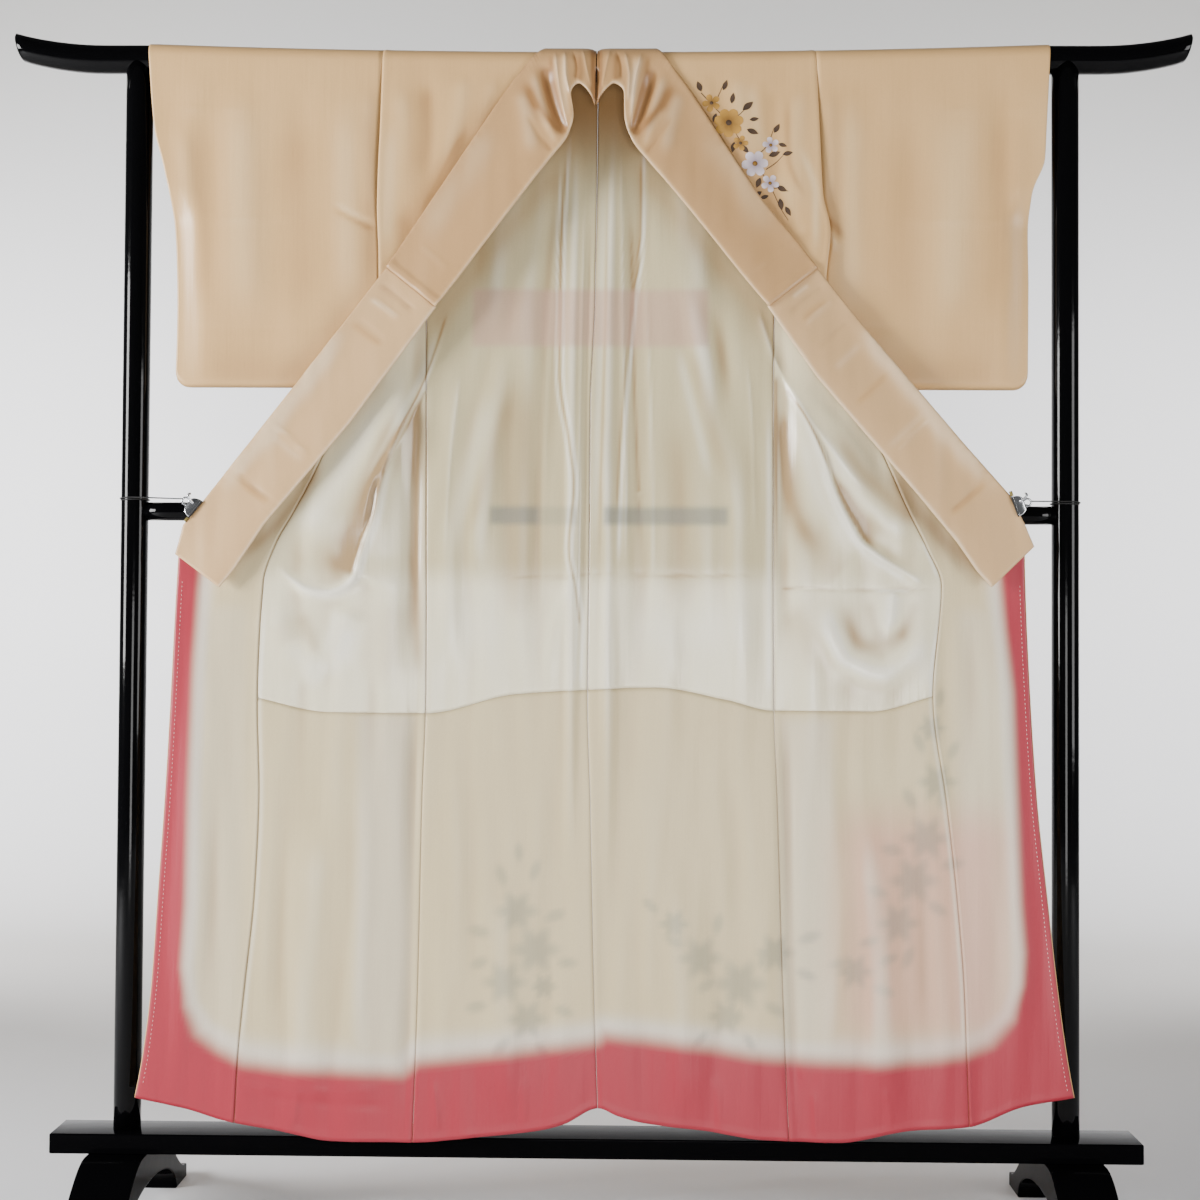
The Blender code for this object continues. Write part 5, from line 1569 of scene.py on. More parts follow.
@dataclass
class Body:
    """Body of the kimono: back panels, turned fronts and okumi, each with its lining laid on it."""

    # grid points of the panels, across and between their crosswise lines
    lining_columns: dict[str, int] = field(default_factory=lambda: {"back": 80, "front": 92, "okumi": 36})
    upper_rows: int = 130
    front_rows: int = 230
    lower_rows: int = 108
    head_rows: int = 64
    okumi_head_rows: int = 6
    # relief of seams, hem and allowance, mm; the kise is the small fold that hides a seam
    seam_sink: float = 0.55
    seam_width: float = 1.7
    seam_shadow: float = 1.3
    kise: float = 0.45
    hem_roll: float = 1.1
    band_rise: float = 0.9
    band_width: float = 4.5
    pucker: float = 0.35
    # painted shade and highlight of the folds: the two reaches in grid points, their weights, and the height in mm
    # of the full tone
    blurs: dict[str, tuple[int, int]] = field(
        default_factory=lambda: {"back": (6, 2), "front": (10, 3), "okumi": (6, 2)})
    tone_weights: tuple[float, float] = (0.5, 0.9)
    tone_full: float = 3.6
    # metres
    nape_rise: float = 0.0090
    edge_wrap: float = 0.0012
    stitch_inset: float = 0.0075
    stitch_pitch: float = 0.0062
    stitch_length: float = 0.0026
    stitch_radius: float = 0.00038

    def seam_line(self, points: Array) -> Array:
        """Tone of the shadow in a seam: a bell in the distance from each long edge of a panel's grid.

        Args:
            points: the panel's grid.

        Returns:
            The tone, 0 to 1.
        """
        width = np.linalg.norm(points[:, -1] - points[:, 0], axis=-1)[:, None] / MM
        share = spread(points.shape[1] - 1)[None, :]
        return bell(np.minimum(share, 1.0 - share) * width, self.seam_shadow)

    def seam_relief(self, points: Array, banded: bool) -> Array:
        """Height of a seam's sinking, its soft fold beside it and the roll along the hem.

        The sinking is a bell in the distance from each long edge, the fold a slower one beside the first edge.
        A banded seam carries a flat raised strip instead, where the turned-back allowance shows.

        Args:
            points: the panel's grid.
            banded: whether its first edge has that strip.

        Returns:
            How far forward each point moves, metres.
        """
        width = np.linalg.norm(points[:, -1] - points[:, 0], axis=-1)[:, None]
        share = spread(points.shape[1] - 1)[None, :]
        left, right = share * width / MM, (1.0 - share) * width / MM
        sink = bell(left, self.seam_width) + bell(right, self.seam_width)
        fold = bell(left, 5.0, 5.0) + 0.5 * bell(right, 6.0, 6.0)
        relief = self.kise * fold - self.seam_sink * sink
        if banded:
            relief = relief + self.band_rise * smooth(left / 0.6) * smooth((self.band_width - left) / 1.2)
        up = (points[..., 2] - points[-1:, :, 2]) / MM
        relief = relief + self.hem_roll * bell(up, 3.5, 3.0)
        return relief * MM

    def panels(self, side: Side) -> dict[str, tuple[Array, Array, int]]:
        """Grids of one side's three panels, with the row of the seam between the linings.

        Args:
            side: which side.

        Returns:
            By panel, its x, its height and that row; 0 where the lining is one cloth.
        """
        gap = SEAM_GAP / 2 * side.value
        left = side is Side.LEFT
        body, seam, edge = (2, 1, 2) if left else (3, 3, 4)
        stops = (lambda x: np.full(x.shape, FRONT_TOP), lambda x: look_up(SATIN_SEAM, 1, x),
                 lambda x: look_up(HEM, 1, x))
        counts = (self.upper_rows, self.lower_rows)
        columns = self.lining_columns
        back = panel_grid(
            lambda z: look_up(BODY_SEAMS, 1, z) + gap, lambda z: look_up(BODY_SEAMS, body, z) - gap,
            (lambda x: BODY_TOP - bar_drop(x) + self.nape_rise * smooth((0.088 - np.abs(x)) / 0.015), *stops),
            (self.head_rows, *counts), columns["back"],
        )
        front = panel_grid(
            lambda z: look_up(BODY_SEAMS, body, z) + gap, lambda z: look_up(OKUMI_SEAMS, seam, z) - gap,
            stops, (self.front_rows, self.lower_rows), columns["front"],
        )
        okumi = panel_grid(
            lambda z: look_up(OKUMI_SEAMS, seam, z) + gap, lambda z: look_up(OKUMI_SEAMS, edge, z),
            (lambda x: np.full(x.shape, OKUMI_TOP), *stops), (self.okumi_head_rows, *counts), columns["okumi"],
        )
        upper = self.upper_rows
        return {"back": (*back, self.head_rows + upper), "front": (*front, self.front_rows), "okumi": (*okumi, 0)}

    def tints(self, x: Array, z: Array) -> Tints:
        """Dyed and see-through areas of the linings, and painted shade on the satin.

        The rose band deepens over a blurred distance outside its line, with a pale halo that is a bell about the
        blur's foot. The veil is the outer cloth's sprays seen through the lining, and the band a strip behind the
        satin.
        The rail is the rail's shadow painted on the satin, the neck shade is painted shade that darkens the satin
        towards the neck, and the warm tint is a darker, warmer tone above a height, less on the fronts.

        Args:
            x, z: places on the cloth, metres.

        Returns:
            Each tint's strength.
        """
        line = np.array(ROSE_LINE, dtype=float) * MM
        apart, turn, _ = to_line(x, z, line)
        outside = np.where(turn > 0, -apart, apart) / MM
        blur = 20.0 + 14.0 * smooth((0.34 - z) / 0.08)
        halo = 2.0 * bell(outside + 0.20 * blur, 0.62 * blur)
        return {
            "rose": smooth((outside + 0.3 * blur) / blur),
            "veil": veil(x, z),
            "warm": smooth((z - 0.905) / 0.05) * np.where((x > -0.25) & (x < 0.255), 1.0, 0.6),
            "pale": np.maximum.reduce([halo, *(soft_box(x, z, box) for box in PALE_BOXES)]),
            "blush": soft_box(x, z, BLUSH_BOX),
            "band": soft_box(x, z, BAND_BOX),
            "rail": sum(soft_box(x, z, box) for box in RAIL_SHADOW_BOXES),
            "glow": smooth((z - 1.47) / 0.16),
        }

    def sewing(self, side: Side) -> None:
        """Running stitches that hold the lining back from the front edge, seen on the rose band.

        Args:
            side: which front edge.
        """
        z = np.linspace(0.925, 0.196, 240)
        x = look_up(OKUMI_SEAMS, 2 if side is Side.LEFT else 4, z) - side.value * self.stitch_inset
        path = np.stack([x, body_depth(x, z) - LINING_STEP - FIT_GAP, z], axis=-1)
        points = stitches(path, self.stitch_pitch, self.stitch_length, self.stitch_radius)
        piece = mesh_object(f"front_edge_stitches_{side.word}", points, ring=True, facing=FORWARD,
                            tints={"tone": np.zeros((1, 1))})
        dress(piece, STITCH.material())

    def outer(self, kind: str, side: Side, points: Array, finish: bpy.types.Material) -> None:
        """Builds and dresses an outer panel; the okumi's wraps its lining's edge.

        Args:
            kind: the panel.
            side: its side.
            points: the panel's grid.
            finish: its silk.
        """
        shell = set_back(points)
        if kind == "okumi":
            shell[:, -1, 0] += side.value * self.edge_wrap
        cloth(f"{kind}_{side.word}_outer", shell, finish, f"{kind}_{side.word}")

    def drawn_in(self, part: Array, seam: Array) -> Array:
        """Sinking of the cloth at the seam between the linings: a narrow bell, and the sewing's small pulls.

        Args:
            part: grid of one lining.
            seam: height of the seam in each column.

        Returns:
            How far back each point moves, metres.
        """
        up, x = np.abs(part[..., 2] - seam[None]) / MM, part[..., 0] / MM
        pulls = self.pucker * np.sin(x * 0.80) * np.sin(x * 0.31 + 1.0)
        return MM * (0.45 * bell(up, 1.6) + pulls * bell(up, 7.0))

    def lining(self, kind: str, side: Side, points: Array, split: int,
               finishes: dict[str, bpy.types.Material]) -> None:
        """Lays a panel's lining on it, as one cloth or as a lower and an upper one sewn together.

        Args:
            kind: the panel.
            side: its side.
            points: the panel's grid.
            split: row of the seam between the two, or 0.
            finishes: material of the lower and of the upper lining.
        """
        sheet = points - (0.0, LINING_STEP, 0.0)
        sheet[..., 1] -= self.seam_relief(points, kind == "okumi")
        # painted shade in hollows and painted highlight on crests, from the sheet's relief against its blurred
        # copies, with the placed painted light and shade
        relief = sum(weight * (blurred(sheet[..., 1], reach) - sheet[..., 1])
                     for weight, reach in zip(self.tone_weights, self.blurs[kind]))
        x, z = points[..., 0], points[..., 2]
        placed = crease_height(x, z, LINING_SHADES)
        tints = self.tints(x, z) | shaded(fold_tones(relief, self.tone_full), placed)
        tints["seam"] = self.seam_line(points)
        parts = [("lower", slice(split, None), LOWER_LINING, 0, -1)]
        if split:
            parts.append(("upper", slice(0, split + 1), UPPER_LINING, -1, 1))
        for word, rows, silk, seam_row, away in parts:
            part, name = sheet[rows].copy(), f"{kind}_lining_{side.word}"
            if split:
                name = f"{kind}_lining_{word}_{side.word}"
                part[..., 1] += self.drawn_in(part, sheet[split, :, 2])
                part[seam_row, :, 2] += away * SEAM_GAP / 2
            cloth(f"{name}_silk", part, finishes[word], name,
                  tints={key: tints[key][rows] for key, _, _ in silk.tints})

    def build(self) -> None:
        """Builds and dresses the outer panels and their linings."""
        outer_silk = OUTER_SILK.material()
        finishes = {"upper": UPPER_LINING.material(), "lower": LOWER_LINING.material()}
        for side in Side:
            for kind, (x, z, split) in self.panels(side).items():
                points = np.stack([x, body_depth(x, z), z], axis=-1)
                self.outer(kind, side, points, outer_silk)
                self.lining(kind, side, points, split, finishes)


def over_bar(x: Array, run: Array, radius: float, lean: float, lift: Array | float = 0.0) -> Array:
    """Points of cloth that turns over the bar.

    A quarter turn of the radius about the sagging bar, then straight down with a slight lean forward. The lift
    moves each point out along the turn's own radius.

    Args:
        x: place along the bar.
        run: length along the cloth from the bar's top line, forward when positive.
        radius: radius of the turn.
        lean: slope of the fall.
        lift: extra distance outward.

    Returns:
        (..., 3) points.
    """
    quarter = radius * math.pi / 2
    angle = np.clip(np.abs(run), 0.0, quarter) / radius
    below = np.clip(np.abs(run) - quarter, 0.0, None)
    forward = -np.sign(run) * (radius + lift) * np.sin(angle) - np.where(run > 0, lean * below, 0.0)
    height = BAR_CENTRE - bar_drop(x) + (radius + lift) * np.cos(angle) - below
    return np.stack([x, forward, height], axis=-1)


@dataclass
class Shoulder:
    """Upper part of a front: over the shoulder from behind the bar, down to its turn behind the collar."""

    side: Side
    tones: Tints = field(default_factory=dict)  # painted shade and highlight of its folds, worked out with the surface
    columns: int = 56
    arc_rows: int = 30
    fall_rows: int = 66
    tail: float = 0.014  # how far it runs on below the edge table's lowest row

    def surface(self) -> Array:
        """Grid of run and x between the sleeve's seam and the collar, turned over the bar.

        Returns:
            (rows, columns, 3).
        """
        quarter = SHOULDER_RADIUS * math.pi / 2
        lower = SHOULDER_EDGE[-1]
        lowest = BAR_CENTRE - float(bar_drop(lower[2] * MM)) - lower[0] * MM + quarter + self.tail
        runs = np.concatenate([np.linspace(-NAPE_REACH, quarter, self.arc_rows),
                               np.linspace(quarter, lowest, self.fall_rows)[1:]])
        run = np.repeat(runs[:, None], self.columns + 1, axis=1)
        sleeve = LEFT_SLEEVE if self.side is Side.LEFT else RIGHT_SLEEVE
        share = np.linspace(0.0, 1.0, self.columns + 1)
        x = np.zeros(run.shape)
        for _ in range(4):
            height = np.where(run < 0, SHOULDER_LINE, over_bar(x, run, SHOULDER_RADIUS, SHOULDER_LEAN)[..., 2])
            seam = look_up(sleeve, 2, height) - self.side.value * SEAM_GAP
            edge = look_up(SHOULDER_EDGE, 1 if self.side is Side.LEFT else 2, height)
            x = seam + (edge - seam) * share
        lift = np.where(run > 0, crease_height(x, height, SHOULDER_CREASES), 0.0)
        width = np.abs(x - seam) / MM
        lift = lift + MM * (0.6 * bell(width, 4.0, 4.0) - 0.5 * bell(width, 2.0))
        lift = lift + ripple(x, height, *SHOULDER_RIPPLE) * smooth(run / 0.08)
        # painted shade in the folds' hollows and painted highlight on their crests, with the placed ones
        self.tones = shaded(fold_tones(lift, 5.0), crease_height(x, height, SHOULDER_SHADES) * smooth(run / 0.03))
        return over_bar(x, run, SHOULDER_RADIUS + FIT_GAP, SHOULDER_LEAN, lift)

    def front(self, x: Array, z: Array) -> Array:
        """Depth y of the forward face at a place below the bar.

        Args:
            x, z: places on the cloth, metres.

        Returns:
            y at each.
        """
        run = SHOULDER_RADIUS * math.pi / 2 + BAR_CENTRE - bar_drop(x) - z
        lift = crease_height(x, z, SHOULDER_CREASES) + ripple(x, z, *SHOULDER_RIPPLE) * smooth(run / 0.08)
        return over_bar(x, run, SHOULDER_RADIUS + FIT_GAP, SHOULDER_LEAN, lift)[..., 1]

    def build(self, finish: bpy.types.Material) -> None:
        """Builds and dresses the shoulder cloth.

        Args:
            finish: its silk.
        """
        name, points = f"front_upper_{self.side.word}", self.surface()
        cloth(f"{name}_silk", points, finish, name, self.tones,
              facing=(0.0, -1.0, 0.3))


@dataclass
class Sleeve:
    """Sleeve: a flat bag over the bar, open at its mouth and at the body, sewn at its foot and lower cuff."""

    side: Side
    tones: Tints = field(default_factory=dict)  # painted shade and highlight of its folds, worked out with the surface
    stations: int = 62
    wall_steps: int = 74
    arc_steps: int = 18
    bottom: float = 1.2045
    corner: float = 0.022  # radius of the rounded lower corner at the cuff
    mouth_bottom: float = 1.469
    sewn_half: float = 0.0026  # half the thickness where the cuff is sewn, over that length
    sewn_length: float = 0.045

    def section(self) -> tuple[Array, Array, Array]:
        """Share of the drop, side and rise round one section, from the foot up the forward wall and back down.

        Returns:
            The share from the bar's top line, -1 to 1 from front to back, and the rise over it in radii.
        """
        falls = np.linspace(1.0, 0.0, self.wall_steps + 1)[1:] ** 0.9
        angle = np.radians(np.linspace(-90.0, 90.0, self.arc_steps + 1)[1:-1])
        zero, one = np.zeros(len(angle)), np.ones(len(falls))
        fall = np.concatenate([[1.0], falls, zero, falls[::-1]])
        across = np.concatenate([[0.0], -one, np.sin(angle), one])
        return fall, across, np.concatenate([[0.0], 0 * one, np.cos(angle), 0 * one])

    def surface(self) -> Array:
        """Sections carried along the sleeve; the walls close towards the foot and the sewn part of the cuff.

        Returns:
            (stations, points round, 3).
        """
        table = LEFT_SLEEVE if self.side is Side.LEFT else RIGHT_SLEEVE
        fall, across, rise = self.section()
        share = np.linspace(0.0, 1.0, self.stations + 1)
        share = (0.5 * share + 0.5 * np.sin(share * math.pi / 2))[:, None]
        width = abs(table[-1][1] - table[-1][2]) * MM
        corner = np.clip((share - 1.0) * width / self.corner + 1.0, 0.0, 1.0)
        bottom = self.bottom + self.corner * (1.0 - np.sqrt(1.0 - 0.98 * corner**2))
        x = np.zeros((len(share), len(fall)))
        for _ in range(4):
            top = BAR_CENTRE - bar_drop(x)
            z = top - fall * (top - bottom) + rise * SHOULDER_RADIUS
            inner = look_up(table, 2, z)
            x = inner + (look_up(table, 1, z) - inner) * share
        half = look_up(SLEEVE_DEPTHS, 1, np.clip(top - z, 0.0, None))
        seed, lengths, height = SLEEVE_RIPPLE
        relief = crease_height(x, z, SLEEVE_CREASES) + ripple(x, z, seed + self.side.value, lengths, height)
        hanging = smooth(fall / 0.15) * smooth((1.0 - fall) / 0.03)
        half = half + relief * hanging * np.where(across < 0, 1.0, 0.8)
        # painted shade and highlight of the folds, the placed ones on the forward wall only
        placed = crease_height(x, z, SLEEVE_SHADES) * hanging * (across < 0)
        self.tones = shaded(fold_tones(relief * hanging, 7.0), placed)
        sewn = smooth((share - 1.0) * width / self.sewn_length + 1.0)
        sewn = sewn * smooth((self.mouth_bottom + 0.03 - z) / 0.06)
        half = half + (np.minimum(self.sewn_half, half) - half) * sewn
        foot = np.clip((1.0 - fall) / 0.022, 0.0, 1.0)
        half = half * np.sqrt(1.0 - (1.0 - foot) ** 2 * 0.9)
        return np.stack([x, half * across, z], axis=-1)

    def build(self, finish: bpy.types.Material) -> None:
        """Builds and dresses the sleeve.

        Args:
            finish: its silk.
        """
        name, points = f"sleeve_{self.side.word}", self.surface()
        cloth(f"{name}_silk", points, finish, name, tints=self.tones, ring=True,
              facing=None)


@dataclass
class Collar:
    """One half of the collar: the over-collar round the neck, and the lower stretch down to the clip."""

    side: Side
    tones: Tints = field(default_factory=dict)  # painted shade and highlight of its folds, worked out with each surface
    across: int = 44
    over_rows: int = 170
    lower_rows: int = 120
    over_length: float = 720.0  # mm along the sewing
    lower_length: float = 520.0
    seam_depth: float = 0.0300
    edge_lift: float = 0.0110  # how far the free edge stands forward of the seam edge
    end_lift: float = 0.0040
    overlap: float = 0.0030  # of the over-collar's end over the lower stretch, and its rise
    overlap_rise: float = 0.0016
    over_depth: float = 0.28  # painted shade over the whole over-collar, and painted highlight over the whole lower stretch
    lower_light: float = 0.20
    step: float = 0.0010  # out from the solid's line, so that the folds' troughs clear the cloth behind
    seam_dip: float = 0.9
    dip_width: float = 1.6
    small_relief: float = 1.5
    bar_clear: float = 0.0036  # deepest fold over the bar

    def over_surface(self) -> Array:
        """Over-collar: its two edges read along their tables, straight between, turned over the bar.

        Returns:
            (rows, across, 3).
        """
        table = LEFT_OVER_COLLAR if self.side is Side.LEFT else RIGHT_OVER_COLLAR
        edges = along(table, (0, 1, 2, 3), np.linspace(0.0, len(table) - 1.0, self.over_rows + 1))
        edges[0] += (edges[0] - edges[1]) / np.linalg.norm(edges[0, :2] - edges[1, :2]) * self.overlap
        edges[-1, [0, 2]] += self.side.value * SEAM_GAP / 2
        share = np.linspace(0.0, 1.0, self.across + 1)
        x = edges[:, :1] + (edges[:, 2:3] - edges[:, :1]) * share
        run = edges[:, 1:2] + (edges[:, 3:4] - edges[:, 1:2]) * share
        height = over_bar(x, run, COLLAR_RADIUS, COLLAR_LEAN)[..., 2]
        lift = self.edge_lift * smooth(share)[None, :] * smooth(run / 0.10)
        relief = crease_height(x, height, COLLAR_CREASES) * smooth((run + 0.02) / 0.05)
        relief = np.where(height > BAR_CENTRE - 0.024, np.maximum(relief, -self.bar_clear), relief)
        relief = relief + ripple(x, height, *COLLAR_RIPPLE) * smooth(run / 0.10)
        reach = np.linspace(0.0, self.over_length, len(edges))[:, None]
        relief = relief + self.edges(share, reach)
        # painted shade over the whole over-collar and painted highlight along its free edge, with the placed
        # painted light and shade
        placed = crease_height(x, height, COLLAR_SHADES) + self.over_depth * MM - self.edge_light(share)
        self.tones = shaded(fold_tones(relief, 3.5), placed)
        points = over_bar(x, run, COLLAR_RADIUS + self.step, COLLAR_LEAN, relief)
        points[..., 1] -= lift + self.overlap_rise * (1.0 - smooth((reach - 9.0) / 14.0))
        return points

    def edge_light(self, share: Array) -> Array:
        """Painted highlight along the free edge's narrow roll: a bell in the distance from it."""
        return 0.9 * MM * bell((1.0 - share) * COLLAR_WIDTH, 2.2, 1.5)[None, :]

    def edges(self, share: Array, reach: Array) -> Array:
        """Relief of both long edges: a narrow dip, and the sewing's small pulls, sines of the reach dying inward.

        Args:
            share: share across the collar.
            reach: length along it, mm.

        Returns:
            Height in metres.
        """
        edge = np.minimum(share, 1.0 - share)[None, :] * COLLAR_WIDTH
        pull = 0.30 * np.sin(reach * 0.72) * np.sin(reach * 0.29 + 0.7) + 0.25 * np.sin(reach * 0.11)
        return MM * (pull * bell(edge, 8.0) - self.seam_dip * bell(edge, self.dip_width))

    def lower_surface(self) -> Array:
        """Lower stretch: straight between its two edges, the free edge lifted forward, with small creases.

        Returns:
            (rows, across, 3).
        """
        table = LEFT_COLLAR if self.side is Side.LEFT else RIGHT_COLLAR
        rows = np.array(table, dtype=float) * MM
        share = np.linspace(0.0, 1.0, self.lower_rows + 1)
        ends = []
        for line in (rows[:, :2], rows[:, 2:]):
            reach = length_along(line)
            ends.append(np.stack([np.interp(share, reach / reach[-1], axis) for axis in line.T], axis=-1))
        seam, free = ends
        down = (seam[1] - seam[0]) / np.linalg.norm(seam[1] - seam[0]) * SEAM_GAP * 2
        seam[0] += down
        free[0] += down
        across = np.linspace(0.0, 1.0, self.across + 1)
        flat = seam[:, None] + (free - seam)[:, None] * across[None, :, None]
        lift = self.edge_lift * smooth(across)[None, :] + self.end_lift * smooth(share)[:, None]
        x, z = flat[..., 0], flat[..., 1]
        relief = self.small_relief * crease_height(x, z, LOWER_COLLAR_CREASES) + ripple(x, z, *LOWER_COLLAR_RIPPLE)
        relief = relief + self.edges(across, share[:, None] * self.lower_length)
        # painted highlight over the whole lower stretch and along its free edge, with the placed painted light and
        # shade
        placed = crease_height(x, z, LOWER_COLLAR_SHADES) - self.lower_light * MM - self.edge_light(across)
        self.tones = shaded(fold_tones(relief, 3.0), placed)
        return np.stack([x, -self.seam_depth - lift - self.step - relief, z], axis=-1)

    def build(self, finish: bpy.types.Material) -> None:
        """Builds and dresses both stretches.

        Args:
            finish: their silk.
        """
        word = self.side.word
        for node, surface, held in ((f"over_collar_{word}", self.over_surface, "draped"),
                                    (f"collar_{word}", self.lower_surface, "hung")):
            points = surface()
            cloth(f"{node}_silk", points, finish, node,
                  self.tones, COLLAR_SILK)


# Where each clip's middle sits on the collar's seam edge and the edge's direction there, x and height, metres
CLIP_PLACES = {
    Side.LEFT: ((-0.5790, 1.0235), (0.630, 0.777)), Side.RIGHT: ((0.5965, 1.0330), (-0.330, 0.944)),
}


@dataclass
class Clip:
    """Spring clip on the collar's seam edge: two jaw bars, a folded body, an eye and the thread to the post.

    Its own axes lie along the collar's edge and outward, square to that edge.
    """

    side: Side
    jaw_half: float = 0.0155
    jaw_radius: float = 0.0016
    jaw_front: float = 0.0366
    jaw_back: float = 0.0254
    middle: float = 0.0310
    body_length: float = 0.0150
    neck_half: float = 0.0060
    wall: float = 0.0008
    eye_out: float = 0.0195
    eye_radius: float = 0.0052
    eye_wire: float = 0.0014
    handle_length: float = 0.0120
    tie_radius: float = 0.0010
    tie_turns: float = 1.15
    tie_pitch: float = 0.0030
    tie_height: float = 1.0420
    twist_length: float = 0.004

    def at(self, out: Array | float, up: Array | float, y: Array | float) -> Array:
        """Point outward from and along the collar's edge, at a depth.

        Args:
            out: distance outward from the edge.
            up: distance along it.
            y: depth.

        Returns:
            (..., 3), metres.
        """
        place, run = CLIP_PLACES[self.side]
        out, up, y = np.broadcast_arrays(np.asarray(out, float), up, y)
        normal = self.side.value * np.array([run[1], -run[0]])
        x = place[0] + out * normal[0] + up * run[0]
        z = place[1] + out * normal[1] + up * run[1]
        return np.stack([x, y, z], axis=-1)

    def jaws(self) -> Array:
        """Two rounded bars along the edge, one before and one behind the collar, thinning at their ends.

        Returns:
            (2, 21, 12, 3).
        """
        up = np.linspace(-self.jaw_half, self.jaw_half, 21)
        radius = self.jaw_radius * np.sqrt(np.clip(1.0 - (up / (self.jaw_half * 1.02)) ** 8, 0.02, 1.0))
        return np.stack([carried(self.at(0.0, up, -y), radius, 12) for y in (self.jaw_front, self.jaw_back)])

    def body(self) -> Array:
        """Folded sheet: from the front jaw out to the neck and back to the rear jaw, narrowing as a half sine.

        Returns:
            (41, 21, 3).
        """
        turn = np.linspace(-1.0, 1.0, 41)[:, None]
        share = 1.0 - np.abs(turn)
        out = self.body_length * np.sin(0.5 * math.pi * share) ** 0.8
        reach = np.where(turn < 0, self.jaw_front, self.jaw_back) - self.middle
        y = -(self.middle + reach * (1.0 - share) ** 0.45)
        half = self.neck_half + (self.jaw_half * 0.94 - self.neck_half) * np.cos(0.5 * math.pi * share) ** 1.3
        return self.at(out, half * np.linspace(-1.0, 1.0, 21)[None, :], y)

    def eye(self) -> Array:
        """Ring at the neck, its wire carried round a circle that lies flat to the viewer.

        Returns:
            (33, 10, 3).
        """
        turn = 2 * math.pi * np.arange(33) / 32
        path = self.at(self.eye_out + self.eye_radius * np.cos(turn), self.eye_radius * np.sin(turn), -self.middle)
        return carried(path, np.array(self.eye_wire), 10)

    def handles(self) -> Array:
        """Two curled levers beyond the neck, each a tapering wire bent away from the collar's plane.

        Returns:
            (2, 17, 10, 3).
        """
        share = np.linspace(0.0, 1.0, 17)
        made = []
        for lean, bend in ((1.0, -1.0), (-0.4, 1.0)):
            out = self.body_length * 0.55 + self.handle_length * np.sin(share * 1.9)
            up = lean * (self.neck_half * 0.8 + 0.0085 * share**1.4)
            y = -self.middle + bend * (0.0035 + 0.0060 * np.sin(share * 2.6))
            made.append(carried(self.at(out, up, y), 0.0021 - 0.0006 * share, 10))
        return np.stack(made)

    def lug(self) -> Array:
        """Aged brass stub of the spring at one end of the jaws.

        Returns:
            (7, 12, 3).
        """
        end = -1.0 if self.side is Side.LEFT else 1.0
        up = end * np.linspace(self.jaw_half, self.jaw_half + 0.0075, 7)
        return carried(self.at(0.0010, up, -self.middle - 0.0035), np.array(0.0024), 12)

    def tie(self) -> Array:
        """Thread: from the eye to the post and round it, a two-ply cord whose section turns as it goes.

        Returns:
            (stations, 10, 3).
        """
        start = self.at(self.eye_out + self.eye_radius, 0.0, -self.middle)
        ring = POST_RADIUS + FIT_GAP + self.tie_radius
        turn = 2 * math.pi * self.tie_turns * np.linspace(0.0, 1.0, 120)
        loop = np.stack([self.side.value * (POST_X + ring * np.sin(turn)), -ring * np.cos(turn),
                         self.tie_height - self.tie_pitch * turn / (2 * math.pi)], axis=-1)
        share = np.linspace(0.0, 1.0, 40)[:-1, None]
        path = np.concatenate([start * (1 - share) + loop[0] * share, loop])
        around = carried(path, np.array(1.0), 10) - path[:, None]
        angle = circle(10)[None, :] + 2 * math.pi * length_along(path)[:, None] / self.twist_length
        radius = self.tie_radius * (0.78 + 0.22 * np.abs(np.cos(angle)))
        return path[:, None] + around * radius[..., None]

    def build(self, thread: bpy.types.Material) -> None:
        """Builds and dresses the clip and its tie.

        Args:
            thread: the tie's cord.
        """
        word = self.side.word
        steel, jaw, brass = STEEL.material(), JAW.material(), BRASS.material()
        body = mesh_object(f"clip_{word}_steel", self.body(), facing=FORWARD)
        thicken(body, self.wall, 0.0)
        dress(body, steel, [f"clip_{word}"])
        for part, points, finish in (("jaws", self.jaws(), jaw), ("eye", self.eye(), steel),
                                     ("handles", self.handles(), steel), ("lug", self.lug(), brass)):
            dress(mesh_object(f"clip_{word}_{part}", points, ring=True, caps=True), finish)
        tie = mesh_object(f"tie_{word}_thread", self.tie(), ring=True, caps=True)
        dress(tie, thread, [f"tie_{word}"])


@dataclass(frozen=True)
class Lamp:
    """Square soft light.

    Attributes:
        name: its name.
        place, aim: where it stands and the point that it is aimed at, metres.
        size: its side, metres.
        power: watts.
    """

    name: str
    place: tuple[float, float, float]
    aim: tuple[float, float, float]
    size: float
    power: float


LAMPS = (
    Lamp("key_left", (-3.7, -1.5, 1.4), (0.0, 0.0, 0.9), 1.3, 300.0),
    Lamp("fill_right", (3.7, -2.1, 1.2), (0.0, 0.0, 0.9), 1.5, 105.0),
    Lamp("front_low", (0.3, -4.2, 0.4), (0.0, 0.0, 0.9), 1.2, 72.0),
    Lamp("wall_left", (-2.2, 1.8, 1.3), (-1.4, 3.3, 1.2), 1.5, 50.0),
    Lamp("wall_right", (2.2, 1.8, 1.3), (1.4, 3.3, 1.2), 1.5, 42.0),
)


